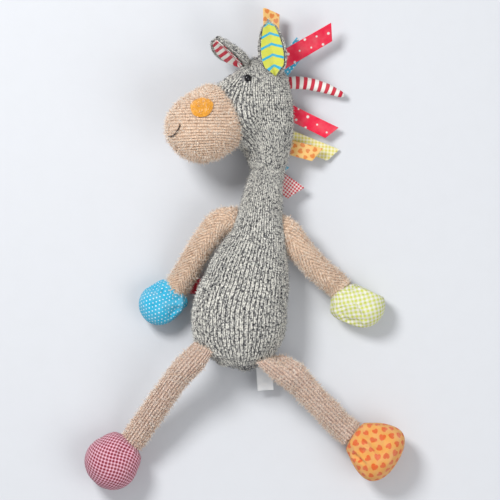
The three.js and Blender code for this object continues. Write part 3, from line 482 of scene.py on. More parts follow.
def marled_yarn():
    """Cream, ash and soot plies twisted together, with painted shade where the yarn dips between wales."""
    knit = knit_settings()
    cloth = Cloth("marled_yarn")
    place = cloth.place()
    fleck = cloth.grain(place, 470, detail=3, roughness=0.66)
    ply = cloth.grain(place, 1700)
    value = fleck * 0.68 + ply * 0.16 + leg_tone(cloth) * 0.16
    plies = cloth.ramp(value, [(0.410, knit.soot), (0.450, knit.ash), (0.48, knit.ash), (0.52, knit.cream)])
    # Painted shade: dark grey mixed in where the loop's stored ridge is low, between the wales
    colour = cloth.mix(0.36 - cloth.stored("ridge") * 0.36, plies, GREY_SHADE)
    return cloth.finish(colour, ply + fleck, YARN_RELIEF, rough=0.95, sheen=0.25)


def brushed_yarn(groove, shade=0.0):
    """Sand yarn with pale brushed fibres, with painted shade by a share where the yarn dips between wales, and
    a share of painted cool shade over it all.
    """
    knit = knit_settings()
    cloth = Cloth("brushed_yarn")
    place = cloth.place()
    cloud = cloth.grain(place, 240, detail=3, roughness=0.55)
    hair = cloth.grain(place, 1300, roughness=0.6, distortion=0.6)
    value = cloud * 0.45 + hair * 0.43 + leg_tone(cloth) * 0.12
    fibres = cloth.ramp(value, [(0.36, knit.bark), (0.45, knit.sand), (0.54, knit.sand), (0.66, knit.oat)])
    # Painted shade: dark brown mixed in where the loop's stored ridge is low, between the wales
    colour = cloth.mix(groove - cloth.stored("ridge") * groove, fibres, BROWN_SHADE)
    # Painted cool shade: a blue-grey cast mixed over the whole yarn by a share
    colour = cloth.mix(shade, colour, COOL_SHADE)
    return cloth.finish(colour, hair, YARN_RELIEF, rough=0.95, sheen=0.35)


def loose_fibre(kind):
    """Fine hairs that stand off a knit."""
    knit = knit_settings()
    cloth = Cloth(f"loose_fibre_{kind}")
    tone = cloth.grain(cloth.place(), 420, detail=1)
    if kind == "marled":
        colour = cloth.ramp(tone, [(0.40, knit.soot), (0.48, knit.ash), (0.58, knit.cream)])
    else:
        colour = cloth.ramp(tone, [(0.36, knit.bark), (0.46, knit.sand), (0.56, knit.oat)])
    return cloth.finish(colour, tone, 0.0001, rough=1.0, sheen=0.3)


def stuffing_fibre():
    """White crimped polyester."""
    cloth = Cloth("stuffing_fibre")
    crimp = cloth.grain(cloth.place(), 300, detail=4, roughness=0.7, distortion=1.5)
    colour = cloth.ramp(crimp, [(0.3, paint(214, 212, 205)), (0.7, paint(247, 246, 242))])
    return cloth.finish(colour, crimp, 0.001, rough=1.0, sheen=0.3)


# Cotton finishes


def woven(cloth, colour, wear=0.10):
    """Finishes a cotton: plain weave relief, slubs, a little fading, and painted shade in the hollows of the
    weave.
    """
    across, along = cloth.laid()
    threads = FULL_TURN / THREAD_PITCH
    weave = (across * threads).math("SINE") * (along * threads).math("SINE")
    slub = cloth.grain(cloth.laid_vector(), 900, detail=3)
    cloud = cloth.grain(cloth.laid_vector(), 90)
    faded = cloth.mix(cloth.step(cloud, 0.35, 0.75) * wear, colour, cloth_settings().white)
    # Painted shade: darker in the hollows between the woven threads; the slubs are darkened too
    depth = (weave * 0.5 + 0.5) * 0.10 + cloth.step(slub, 0.5, 0.8) * 0.08
    shaded = cloth.mix(depth, faded, WEAVE_SHADE, "MULTIPLY")
    return cloth.finish(shaded, weave * 0.5 + slub, WEAVE_RELIEF, rough=0.85, sheen=0.15)


def repeats(cloth, repeat, turn):
    """How many repeats of a turned print lie up to a place, both ways."""
    across, along = cloth.laid()
    cosine, sine = math.cos(math.radians(turn)) / repeat, math.sin(math.radians(turn)) / repeat
    return across * cosine + along * sine, along * cosine - across * sine


def stripe(cloth, wave, share, soft):
    """1 on the stripes that a wave makes; share is how much of each repeat they take."""
    level = math.cos(math.pi * share)
    return cloth.step(wave, level - soft, level + soft)


def gingham(name, repeat, turn, ink, pale, share=0.5):
    """Check of pale and dyed threads; share is how much of the cloth is dyed each way."""
    cloth = Cloth(f"gingham_{name}")
    waves = [(line * FULL_TURN).math("SINE") for line in repeats(cloth, repeat, turn)]
    first, second = (stripe(cloth, wave, share, soft=0.14) for wave in waves)
    dyed = (first + second) * 0.5
    half = tuple(0.5 * a + 0.5 * b for a, b in zip(ink, pale))
    colour = cloth.ramp(dyed, [(0.02, pale), (0.48, half), (0.52, half), (0.98, ink)])
    return woven(cloth, colour, wear=0.05)


def cells(cloth, repeat, turn):
    """Staggered cells: the place in a cell, from -0.5 to 0.5 both ways, and a vector that names the cell."""
    first, second = repeats(cloth, repeat, turn)
    row = second.math("FLOOR")
    shifted = first + row * 0.5
    column = shifted.math("FLOOR")
    return shifted - column - 0.5, second - row - 0.5, cloth.vector(column, row, 0.5)


def dotted(name, repeat, radius, ground, dot, turn=0.0):
    """Small printed dots, a little uneven in size."""
    cloth = Cloth(f"dotted_{name}")
    x, y, cell = cells(cloth, repeat, turn)
    reach = (x * x + y * y).math("SQRT") + (cloth.chance(cell) - 0.5) * 0.06
    mask = 1 - cloth.step(reach, radius - 0.05, radius + 0.05)
    return woven(cloth, cloth.mix(mask, ground, dot))


def hearts(name, repeat, ground, ink):
    """Plain hearts scattered every way up."""
    cloth = Cloth(f"hearts_{name}")
    x, y, cell = cells(cloth, repeat, 12)
    luck = cloth.chance(cell)
    angle = luck * FULL_TURN
    sine, cosine = angle.math("SINE"), angle.math("COSINE")
    size = 2.9 + luck * 0.7
    u = (x * cosine - y * sine) * size
    v = (x * sine + y * cosine) * size + 0.1
    body = u * u + v * v - 1.0
    shape = body * body * body - u * u * v * v * v
    mask = 1 - cloth.step(shape, -0.05, 0.05)
    return woven(cloth, cloth.mix(mask, ground, ink))


def striped(name, repeat, share, bend, ground, ink):
    """Stripes across the cloth's length; a bend drops them away from the middle line."""
    cloth = Cloth(f"striped_{name}")
    across, along = cloth.laid()
    wobble = (cloth.grain(cloth.laid_vector(), 260, detail=1) - 0.5) * 0.0008
    line = along + across.math("ABSOLUTE") * bend + wobble
    wave = (line * (FULL_TURN / repeat)).math("COSINE")
    return woven(cloth, cloth.mix(stripe(cloth, wave, share, soft=0.12), ground, ink))


def felt():
    """Pressed felt with a mottled nap."""
    settings = cloth_settings()
    cloth = Cloth("felt")
    place = cloth.place()
    nap = cloth.grain(place, 900, detail=4, roughness=0.7, distortion=0.8)
    cloud = cloth.grain(place, 260)
    warm = tuple(c * 0.78 for c in settings.felt)
    stops = [(0.38, warm), (0.52, settings.felt), (0.66, paint(238, 176, 84))]
    colour = cloth.ramp(nap * 0.55 + cloud * 0.45, stops)
    return cloth.finish(colour, nap, 0.0006, rough=1.0, sheen=0.4)


def satin():
    """White ribbon satin, bare of print."""
    cloth = Cloth("satin")
    along = cloth.laid()[1]
    rib_pitch = 0.0005
    ribs = (along * (FULL_TURN / rib_pitch)).math("SINE")
    cloud = cloth.grain(cloth.laid_vector(), 140)
    colour = cloth.ramp(cloud, [(0.35, paint(243, 244, 245)), (0.65, paint(253, 253, 252))])
    return cloth.finish(colour, ribs + cloud, 0.00008, rough=0.5 + cloud * 0.2, sheen=0.1)


def brown_thread():
    """Twisted sewing thread."""
    cloth = Cloth("brown_thread")
    twist = cloth.grain(cloth.place(), 2200, distortion=2.0)
    brown = paint(36, 20, 15)
    dark = tuple(c * 0.5 for c in brown)
    return cloth.finish(cloth.ramp(twist, [(0.35, dark), (0.6, brown)]), twist, 0.0003, rough=0.8, sheen=0.2)


def polished_bead():
    """Glossy black plastic with a faint dusting."""
    cloth = Cloth("polished_bead")
    dust = cloth.grain(cloth.place(), 700, detail=3)
    colour = cloth.ramp(dust, [(0.4, paint(9, 9, 11)), (0.8, paint(22, 22, 25))])
    rough = 0.03 + cloth.step(dust, 0.5, 0.8) * 0.06
    return cloth.finish(colour, dust, 0.00001, rough, shine=0.45)


def moulded_washer():
    """Natural white nylon."""
    cloth = Cloth("moulded_washer")
    flow_marks = cloth.grain(cloth.place(), 500, detail=3)
    colour = cloth.ramp(flow_marks, [(0.3, paint(222, 221, 214)), (0.7, paint(238, 238, 234))])
    return cloth.finish(colour, flow_marks, 0.0001, rough=0.35 + flow_marks * 0.2)


def studio_floor(swatch):
    """Pale paper, lightly mottled."""
    cloth = Cloth("studio_floor")
    fibre = cloth.grain(cloth.place(), 60, detail=3)
    colour = cloth.mix(cloth.step(fibre, 0.3, 0.8) * 0.05, swatch, (0.5, 0.5, 0.5))
    return cloth.finish(colour, fibre, 0.0002, rough=0.95)


# Reading the frame

JOINTS = {joint["name"]: joint for joint in frame["joints"]}


def unit(vector):
    return vector / np.linalg.norm(vector)


def units(vectors):
    return vectors / np.linalg.norm(vectors, axis=-1, keepdims=True)


def round_about(cols):
    """The turn of each of a ring's columns."""
    return FULL_TURN * np.arange(cols) / cols


def squarish(wave, power):
    """A wave drawn out towards its ends, which squares off a ring."""
    return np.sign(wave) * np.abs(wave) ** power


def run_of(points):
    """How far along a row of points each lies."""
    steps = np.linalg.norm(np.diff(points, axis=0), axis=-1)
    return np.concatenate([np.zeros_like(steps[:1]), np.cumsum(steps, axis=0)])


def compass(degrees):
    return np.array((math.cos(math.radians(degrees)), math.sin(math.radians(degrees)), 0.0))


def pivot(joint):
    return np.array(JOINTS[joint]["pos_m"], float)


def hinge(joint):
    return unit(np.array(JOINTS[joint]["axis"], float))


def points_of(node):
    return np.array([v.co for v in frame["nodes"][node].data.vertices], float)


def middle_of(node):
    low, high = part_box(node)
    return np.array((low + high) / 2)


def walls_of(*nodes):
    """Ray tree of the nodes' own walls."""
    corners, faces = [], []
    for node in nodes:
        mesh = frame["nodes"][node].data
        start = len(corners)
        corners += [tuple(v.co) for v in mesh.vertices]
        faces += [[start + i for i in p.vertices] for p in mesh.polygons]
    return BVHTree.FromPolygons(corners, faces)


def hull_of(node):
    """Ray tree of a node drawn tight all round, with its sockets closed."""
    hull = bmesh.new()
    for point in points_of(node):
        hull.verts.new(point)
    bmesh.ops.convex_hull(hull, input=hull.verts)
    return BVHTree.FromBMesh(hull)


def reach_of(tree, centre, direction):
    """How far the outermost wall lies from a centre in one direction."""
    hit = tree.ray_cast(Vector(centre + direction * RAY_REACH), Vector(-direction))
    return RAY_REACH - hit[3] if hit[0] else 0.0


def section(tree, guess, across, deep):
    """Middle, half width and half depth of a solid where two lines cross it."""
    centre = np.array(guess, float)
    halves = {}
    for name, axis in (("wide", across), ("deep", deep), ("wide", across)):
        ahead, behind = reach_of(tree, centre, axis), reach_of(tree, centre, -axis)
        centre = centre + axis * (ahead - behind) / 2
        halves[name] = (ahead + behind) / 2
    return centre, halves["wide"], halves["deep"]


# Forms


def flow(places, values, wanted):
    """Smooth values at the wanted places along a row of stations."""
    places, values, wanted = (np.asarray(x, float) for x in (places, values, wanted))
    slopes = np.gradient(values, places, axis=0)
    left = np.clip(np.searchsorted(places, wanted) - 1, 0, len(places) - 2)
    span = places[left + 1] - places[left]
    share = (wanted - places[left]) / span
    if values.ndim > 1:
        span, share = span[:, None], share[:, None]
    squared, cubed = share**2, share**3
    return (
        (2 * cubed - 3 * squared + 1) * values[left]
        + (cubed - 2 * squared + share) * span * slopes[left]
        + (3 * squared - 2 * cubed) * values[left + 1]
        + (cubed - squared) * span * slopes[left + 1]
    )


def eased(values, passes, ring=False):
    """Averages neighbours along the first axis, and round the rings too if asked."""
    for _ in range(passes):
        ends = np.concatenate([values[:1], values, values[-1:]])
        values = (ends[:-2] + 2 * ends[1:-1] + ends[2:]) / 4
        if ring:
            values = (np.roll(values, 1, 1) + 2 * values + np.roll(values, -1, 1)) / 4
    return values


class Form:
    """A closed soft shape: rings of points between a start point and an end point."""

    def __init__(self, rings, start, end):
        self.rings, self.start, self.end = rings, start, end
        self.rows, self.cols = rings.shape[:2]
        across = np.roll(rings, -1, 1) - np.roll(rings, 1, 1)
        ahead = np.gradient(rings, axis=0)
        normals = np.cross(across, ahead)
        outward = rings - rings.mean(1, keepdims=True)
        normals *= np.sign((normals * outward).sum())
        self.normals = normals / np.maximum(np.linalg.norm(normals, axis=2, keepdims=True), 1e-12)

    def sample(self, grid, row, col):
        """Values of a grid like the rings at places between its rows and columns."""
        row = np.clip(row, 0, self.rows - 1.001)
        low, left = np.floor(row).astype(int), np.floor(col).astype(int)
        down, over = (row - low)[:, None], (col - left)[:, None]
        left, right = left % self.cols, (left + 1) % self.cols
        near = grid[low, left] * (1 - over) + grid[low, right] * over
        far = grid[low + 1, left] * (1 - over) + grid[low + 1, right] * over
        return near * (1 - down) + far * down

    def girth(self):
        return np.linalg.norm(np.roll(self.rings, -1, 1) - self.rings, axis=2).sum(1)

    def stride(self):
        """Mean distance from each ring to the next."""
        return np.gradient(np.concatenate([[0], np.cumsum(
            np.linalg.norm(np.diff(self.rings, axis=0), axis=2).mean(1))]))

    def grown(self, distance):
        """The form moved out along its normals by a number or a grid of numbers."""
        shift = np.broadcast_to(np.asarray(distance, float), (self.rows, self.cols))
        rings = self.rings + self.normals * shift[..., None]
        ends = []
        for point, row, ring in ((self.start, 0, rings[0]), (self.end, -1, rings[-1])):
            away = point - ring.mean(0)
            size = np.linalg.norm(away)
            ends.append(point + (away / size if size > 1e-7 else 0 * away) * shift[row].mean())
        return Form(rings, *ends)

    def thinned(self, row_step, col_step):
        return Form(self.rings[::row_step, ::col_step], self.start, self.end)

    def piece(self, name, material, laid=None):
        return closed_piece(name, self.rings, self.start, self.end, material, laid)


def closed_piece(name, rings, start, end, material, laid=None):
    """Mesh object over rings and two end points. laid gives the cloth's own place of each corner,
    for the end rows too and with the first column repeated."""
    rows, cols = rings.shape[:2]
    points = np.concatenate([[start], rings.reshape(-1, 3), [end]])

    def corner(row, col, step):
        if row == 0:
            return 0
        return len(points) - 1 if row == rows + 1 else 1 + (row - 1) * cols + (col + step) % cols

    faces, places = [], []
    for row in range(rows + 1):
        for col in range(cols):
            ring = [(row, col, 0), (row, col, 1), (row + 1, col, 1), (row + 1, col, 0)]
            if row == 0:
                ring.pop(0)
            if row == rows:
                ring.pop()
            faces.append([corner(*c) for c in ring])
            places.append([(c[0], c[1] + c[2]) for c in ring])
    triangles = np.array([(f[0], f[1], f[2]) for f in faces])
    a, b, c = (points[triangles[:, i]] for i in range(3))
    middle = points.mean(0)
    if (np.cross(b - a, c - a) * (a - middle)).sum() < 0:
        faces = [f[::-1] for f in faces]
        places = [p[::-1] for p in places]
    mesh = bpy.data.meshes.new(name)
    mesh.from_pydata(points.tolist(), [], faces)
    if laid is not None:
        layer = mesh.uv_layers.new(name=UV_NAME)
        flat = np.array([laid[row, col] for face in places for row, col in face], np.float32)
        layer.data.foreach_set("uv", flat.ravel())
    mesh.shade_smooth()
    mesh.materials.append(material)
    return linked(bpy.data.objects.new(name, mesh))


def linked(obj):
    bpy.context.scene.collection.objects.link(obj)
    return obj


def loft(centres, across, half_widths, half_depths, cols, ends):
    """Form of ellipses along a spine. Column 0 lies on the across side."""
    ahead = units(np.gradient(centres, axis=0))
    wide = units(across - ahead * (across * ahead).sum(1, keepdims=True))
    deep = np.cross(ahead, wide)
    turn = round_about(cols)
    rings = (
        centres[:, None]
        + wide[:, None] * (half_widths[:, None] * np.cos(turn))[..., None]
        + deep[:, None] * (half_depths[:, None] * np.sin(turn))[..., None]
    )
    return Form(rings, *ends)


def on_floor(form):
    """The form pressed flat where it would go through the floor."""
    rings = form.rings.copy()
    rings[..., 2] = np.maximum(rings[..., 2], FLOOR_LEVEL)
    return Form(rings, form.start, form.end)


def lumps(form, size, height, seed):
    """A grid of soft bulges, as stuffing makes."""
    shift = Vector((seed * 7.3, seed * 3.1, seed * 5.7))
    flat = [noise.noise(Vector(p / size) + shift) for p in form.rings.reshape(-1, 3)]
    return height * np.array(flat).reshape(form.rows, form.cols)


def ribs(form, wales, depth, slope=0.0):
    """A grid of grooves between the wales. A slope slants them away from the line along the top."""
    cols = form.cols
    place = np.arange(cols, dtype=float)
    if slope:
        place = np.abs((place - cols / 4 + cols / 2) % cols - cols / 2)
    lines = (place[None] - slope * np.arange(form.rows)[:, None]) * wales / cols
    return grooves(lines, depth)


def grooves(lines, depth):
    """Ridges at the whole numbers and grooves half-way between them."""
    return depth * (np.abs(np.cos(np.pi * lines)) - 0.6)


# Loops and fibres by Geometry Nodes


def open_tree(name, inputs):
    tree = bpy.data.node_groups.new(name, "GeometryNodeTree")
    tree.interface.new_socket("Geometry", in_out="INPUT", socket_type="NodeSocketGeometry")
    for label, kind in inputs:
        tree.interface.new_socket(label, in_out="INPUT", socket_type=kind)
    tree.interface.new_socket("Geometry", in_out="OUTPUT", socket_type="NodeSocketGeometry")
    graph = Graph(tree)
    entry = tree.nodes.new("NodeGroupInput")
    sockets = {s.name: Wire(graph, s) for s in entry.outputs if s.name}
    return tree, graph, sockets


def close_tree(graph, pattern, points, turn, size, material):
    """Ends a tree: its pattern set on every point, made real and given its finish."""
    settings = {"transform_space": "ORIGINAL"}
    shape = graph.get("Geometry", "GeometryNodeObjectInfo", settings, {"Object": pattern})
    placed = graph.get("Instances", "GeometryNodeInstanceOnPoints", None, {
        "Points": points, "Instance": shape, "Rotation": turn, "Scale": size})
    real = graph.get("Geometry", "GeometryNodeRealizeInstances", None, {"Geometry": placed})
    coloured = graph.node("GeometryNodeSetMaterial", None, {"Geometry": real, "Material": material})
    leave = graph.tree.nodes.new("NodeGroupOutput")
    graph.tree.links.new(coloured.outputs[0], leave.inputs[0])


def loops_tree():
    """One knitted loop on each point, turned and sized by the point's own values."""
    tree, graph, given = open_tree("Knit loops", [
        ("Loop", "NodeSocketObject"), ("Fullness", "NodeSocketFloat"), ("Yarn", "NodeSocketMaterial")])

    def own(name):
        settings = {"data_type": "FLOAT_VECTOR"}
        return graph.get("Attribute", "GeometryNodeInputNamedAttribute", settings, {"Name": name})

    turn = graph.get("Rotation", "FunctionNodeAxesToRotation", {"primary_axis": "Z", "secondary_axis": "Y"}, {
        "Primary Axis": own("facing"), "Secondary Axis": own("run")})
    size = graph.get("Vector", "ShaderNodeVectorMath", {"operation": "SCALE"}, {
        "Vector": own("span"), "Scale": given["Fullness"]})
    close_tree(graph, given["Loop"], given["Geometry"], turn, size, given["Yarn"])
    return tree


def fuzz_tree():
    """Bent hairs scattered over a surface."""
    tree, graph, given = open_tree("Loose fibres", [
        ("Hair", "NodeSocketObject"), ("Density", "NodeSocketFloat"), ("Length", "NodeSocketFloat"),
        ("Lean", "NodeSocketFloat"), ("Seed", "NodeSocketInt"), ("Fibre", "NodeSocketMaterial")])
    spread = graph.node("GeometryNodeDistributePointsOnFaces", None, {
        "Mesh": given["Geometry"], "Density": given["Density"], "Seed": given["Seed"]})

    def luck(low, high, seed):
        return graph.get("Value_001", "FunctionNodeRandomValue", {"data_type": "FLOAT"}, {
            "Min_001": low, "Max_001": high, "Seed": seed})

    tilt = graph.get("Vector", "ShaderNodeCombineXYZ", None, {
        "X": luck(-1.0, 1.0, seed=1) * given["Lean"],
        "Y": luck(-1.0, 1.0, seed=2) * given["Lean"],
        "Z": luck(0.0, HAIR_TWIST, seed=3),
    })
    euler = graph.get("Rotation", "FunctionNodeEulerToRotation", None, {"Euler": tilt})
    turn = graph.get("Rotation", "FunctionNodeRotateRotation", {"rotation_space": "LOCAL"}, {
        "Rotation": graph.wire(spread, "Rotation"), "Rotate By": euler})
    tall = luck(0.5, 1.0, seed=4) * given["Length"]
    size = graph.get("Vector", "ShaderNodeCombineXYZ", None, {"X": tall, "Y": HAIR_WIDTH, "Z": tall})
    close_tree(graph, given["Hair"], graph.wire(spread, "Points"), turn, size, given["Fibre"])
    return tree


def loop_pattern():
    """One loop of yarn, a unit wide and a unit tall: two plump legs that lean apart upwards."""
    points, faces = [], []
    sides, steps = 4, 2
    half_tall, arch, dip = 0.66, 0.30, 0.06
    foot, splay = 0.10, 0.16
    half_wide, half_deep = 0.215, 0.30
    for side in (-1, 1):
        first = len(points)
        for step in range(steps + 1):
            share = step / steps
            rise = arch * math.sin(math.pi * share) - dip
            middle = np.array((side * (foot + splay * share), (2 * share - 1) * half_tall, rise))
            plump = 0.55 + 0.45 * math.sin(math.pi * min(max(share, 0.08), 0.92))
            for turn in round_about(sides):
                ring = np.array((half_wide * math.cos(turn), 0, half_deep * math.sin(turn)))
                points.append(middle + plump * ring)
        for step in range(steps):
            for k in range(sides):
                a, b = first + step * sides + k, first + step * sides + (k + 1) % sides
                faces.append((a, a + sides, b + sides, b))
        faces.append([first + k for k in range(sides)])
        faces.append([first + steps * sides + k for k in reversed(range(sides))])
    loop = pattern_object("loop_pattern", points, faces)
    points = np.array(points)
    # ridge: how high each point of the loop stands, 0 low to 1 high; the yarns paint shade where it is low
    ridge = np.clip((points[:, 2] + 0.10) / 0.50, 0, 1)
    store(loop.data, "ridge", ridge)
    store(loop.data, "leg", points[:, 0] > 0)
    return loop


def hair_pattern():
    """One bent hair, a unit long, three-sided, drawn to a point."""
    half_wide, half_deep, point = 0.055, 0.065, (0.42, 0.0, 0.9)
    points = []
    for height, bend, share in ((-0.1, 0.0, 1.0), (0.5, 0.10, 0.8)):
        for turn in round_about(3):
            x, y = half_wide * math.cos(turn), half_deep * math.sin(turn)
            points.append((bend + share * x, share * y, height))
    points.append(point)
    faces = [(2, 1, 0)]
    faces += [(k, (k + 1) % 3, 3 + (k + 1) % 3, 3 + k) for k in range(3)]
    faces += [(3 + k, 3 + (k + 1) % 3, 6) for k in range(3)]
    return pattern_object("hair_pattern", points, faces)


def pattern_object(name, points, faces):
    mesh = bpy.data.meshes.new(name)
    mesh.from_pydata([tuple(map(float, p)) for p in points], [], faces)
    shape = bmesh.new()
    shape.from_mesh(mesh)
    bmesh.ops.recalc_face_normals(shape, faces=shape.faces)
    shape.to_mesh(mesh)
    shape.free()
    mesh.shade_smooth()
    return linked(bpy.data.objects.new(name, mesh))


def settled(obj):
    """The object with what its modifiers make as its own plain mesh."""
    made = bpy.data.meshes.new_from_object(obj.evaluated_get(bpy.context.evaluated_depsgraph_get()))
    spare = obj.data
    obj.modifiers.clear()
    obj.data = made
    bpy.data.meshes.remove(spare)
    return obj


def grown_by(obj, tree, values):
    """Runs a node tree on an object, with its inputs set by their own identifiers, and keeps the mesh."""
    modifier = obj.modifiers.new(tree.name, "NODES")
    modifier.node_group = tree
    for item in tree.interface.items_tree:
        if item.in_out == "INPUT" and item.name in values:
            modifier[item.identifier] = values[item.name]
    settled(obj)
    for name in ("facing", "run", "span"):
        attribute = obj.data.attributes.get(name)
        if attribute:
            obj.data.attributes.remove(attribute)
    return obj


def loop_places(form, wales, aspect, first, last):
    """Rows, columns, row steps, column step and slant of upright wales. Loops keep their proportions."""
    girth, stride = form.girth(), form.stride()
    rows, rises, row = [], [], first
    while row < last:
        at = min(int(row), form.rows - 1)
        rises.append(max(girth[at] / wales * aspect / stride[at], 0.25))
        rows.append(row)
        row += rises[-1]
    row_grid, wale_grid = np.meshgrid(rows, np.arange(wales), indexing="ij")
    col = wale_grid.ravel() * form.cols / wales
    return row_grid.ravel(), col, np.repeat(rises, wales), form.cols / wales, np.zeros(len(col))


def slanted(form, places, slope):
    """The places of wales that slant away on both sides of the line along the top of a limb."""
    row, col, rise, step, _ = places
    half = form.cols / 2
    turned = (col - form.cols / 4) % form.cols
    side = np.where(turned < half, 1.0, -1.0)
    reach = (np.minimum(turned, form.cols - turned) + slope * row) % half
    return row, (side * reach + form.cols / 4) % form.cols, rise, step, side * slope


def knit_loops(name, form, places, aspect, yarn, seed, keep=None, fullness=1.0, slim=1.0):
    """Piece of knitted loops over a form. Slim loops leave open grooves between the wales."""
    row, col, rise, step, slant = places
    ahead, aside = rise / 2, slant * rise / 2
    def at(rows, cols):
        return form.sample(form.rings, rows, cols)

    spot, facing = at(row, col), form.sample(form.normals, row, col)
    run = at(row + ahead, col + aside) - at(row - ahead, col - aside)
    wide = at(row, col + step / 2) - at(row, col - step / 2)
    width, high = np.linalg.norm(wide, axis=1), np.linalg.norm(run, axis=1)
    luck = np.random.default_rng(seed)
    tone = luck.random(len(spot))
    run = run / np.maximum(high, 1e-9)[:, None]
    width = width * np.sqrt(np.maximum(1 - ((run * wide).sum(1) / np.maximum(width, 1e-9)) ** 2, 0.1))
    run = run + LOOP_LEAN * (luck.random((len(spot), 3)) - 0.5)
    spot = spot + wide * (LOOP_STRAY * (luck.random(len(spot)) - 0.5))[:, None]
    width = width * (LOOP_LEAST + LOOP_UNEVEN * luck.random(len(spot)))
    high = np.maximum(high, 0.5 * width * aspect)
    span = np.stack([slim * width, high, LOOP_DEPTH * np.minimum(width, 1.3 * high)], axis=1)
    spot = spot - facing * (LOOP_SINK * width)[:, None]
    chosen = keep(spot) if keep else np.ones(len(spot), bool)
    above = facing[:, 2] > 0
    halves = {"": chosen}
    if chosen.sum() >= LOOPS_IN_ONE:
        halves = {"_above": chosen & above, "_below": chosen & ~above}
    loops = (spot, facing, run, span, tone)
    return [
        loops_piece(name + half, *(x[taken] for x in loops), yarn, fullness) for half, taken in halves.items()
    ]


def store(mesh, name, values):
    """Keeps a number or a vector for each point of a mesh."""
    kind, field = ("FLOAT_VECTOR", "vector") if values.ndim > 1 else ("FLOAT", "value")
    mesh.attributes.new(name, kind, "POINT").data.foreach_set(field, values.astype(np.float32).ravel())


def loops_piece(name, spot, facing, run, span, tone, yarn, fullness=1.0):
    mesh = bpy.data.meshes.new(name)
    mesh.from_pydata(spot.tolist(), [], [])
    for label, values in (("facing", facing), ("run", run), ("span", span), ("tone", tone)):
        store(mesh, label, values)
    obj = linked(bpy.data.objects.new(name, mesh))
    values = {"Loop": bpy.data.objects["loop_pattern"], "Fullness": fullness, "Yarn": yarn}
    return grown_by(obj, bpy.data.node_groups["Knit loops"], values)


def loose_fibres(name, form, density, length, lean, seed, fibre, keep=None):
    """Piece of hairs over a form, but for its underside. Density is hairs a square metre."""
    obj = form.thinned(2, 2).piece(name, fibre)
    shape = bmesh.new()
    shape.from_mesh(obj.data)
    middles = np.array([face.calc_center_median() for face in shape.faces])
    hairy = keep(middles) if keep else np.ones(len(middles), bool)
    hairy &= np.array([face.normal.z > UNDERSIDE for face in shape.faces])
    bald = [face for face, stays in zip(list(shape.faces), hairy) if not stays]
    bmesh.ops.delete(shape, geom=bald, context="FACES")
    shape.to_mesh(obj.data)
    shape.free()
    values = {"Hair": bpy.data.objects["hair_pattern"], "Density": density, "Length": length, "Lean": lean,
              "Seed": seed, "Fibre": fibre}
    return grown_by(obj, bpy.data.node_groups["Loose fibres"], values)


# Carrying


class Carrier:
    """What a piece is tied to: one body, which it is parented to; for two bodies it keeps the two ends of the
    stretch between them, but leaves the piece in place, tied to neither.
    """

    def __init__(self, body, other=None, start=None, end=None):
        self.body, self.other, self.start, self.end = body, other, start, end

    def take(self, obj, slot, nodes=(), fill=None):
        if self.other:
            tuple(self.start)
            tuple(self.end)
            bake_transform(obj)
        else:
            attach(obj, self.body)
        if nodes:
            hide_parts(*nodes)
        return obj


def bending(body, other, seam, lead, fold):
    """Carrier for cloth that runs from one body to another, with the two ends of a stretch beside a seam;
    nothing bends the cloth over it.
    """
    return Carrier(body, other, seam + lead * fold[0], seam + lead * fold[1])


def stuff(form, name, carrier, node, seed):
    """The stuffing inside a cover."""
    inner = form.thinned(2, 4)
    room = np.linalg.norm(inner.rings - inner.rings.mean(1, keepdims=True), axis=2).min(1)
    inset = np.minimum(1.6 * knit_settings().wall, 0.55 * room)
    inner = inner.grown(-np.tile(inset[:, None], (1, inner.cols)))
    inner = inner.grown(lumps(inner, size=0.012, height=0.0008, seed=seed))
    return carrier.take(inner.piece(name, finish_of(stuffing_fibre)), "fibre_filling", [node], fill=0.8)


def knitted(name, form, carrier, kind, wales, aspect, rows, seed, node, filling, hairs, hair_length,
            groove=0.0, slope=0.0, shade=0.0, keep=None, empty=0, **ways):
    """Cover, loops, loose fibres and stuffing of one knitted piece. Loops run from one to the other of two
    rows; a number of rows at its start can be left empty of stuffing."""
    marled = kind == "marled"
    yarn = finish_of(marled_yarn) if marled else finish_of(brushed_yarn, groove, shade)
    slot = "grey_knit" if marled else "beige_knit"
    ground = on_floor(form.grown(ribs(form, wales, knit_settings().rib_depth, slope) - GROUND_SINK))
    cover = ground.piece(f"{name}_cover_knit", yarn)
    # The cover gets a ridge of 0 under the loops, so its yarn paints it in full shade and it shows dark between
    # them; beyond the loops it keeps most of its light
    bare = np.full(len(cover.data.vertices), BARE_UNSHADED)
    bare[1 + rows[0] * form.cols:1 + rows[1] * form.cols] = 0
    store(cover.data, "ridge", bare)
    carrier.take(cover, slot, [node], fill=0.85)
    places = loop_places(form, wales, aspect, *rows)
    if slope:
        places = slanted(form, places, slope)
    for loops in knit_loops(f"{name}_loops", form, places, aspect, yarn, seed, keep, **ways):
        carrier.take(loops, slot)
    fibre = finish_of(loose_fibre, kind)
    carrier.take(loose_fibres(f"{name}_fuzz", form, hairs, hair_length, 1.0, seed, fibre, keep), slot)
    if not marled:
        tufts = loose_fibres(f"{name}_tufts", form, TUFTS, TUFT_LENGTH, TUFT_LEAN, seed + 3, fibre)
        carrier.take(tufts, slot)
    if filling:
        full = Form(form.rings[empty:], form.rings[empty].mean(0), form.end) if empty else form
        stuff(full, f"{name}_stuffing", carrier, filling, seed)


# Body


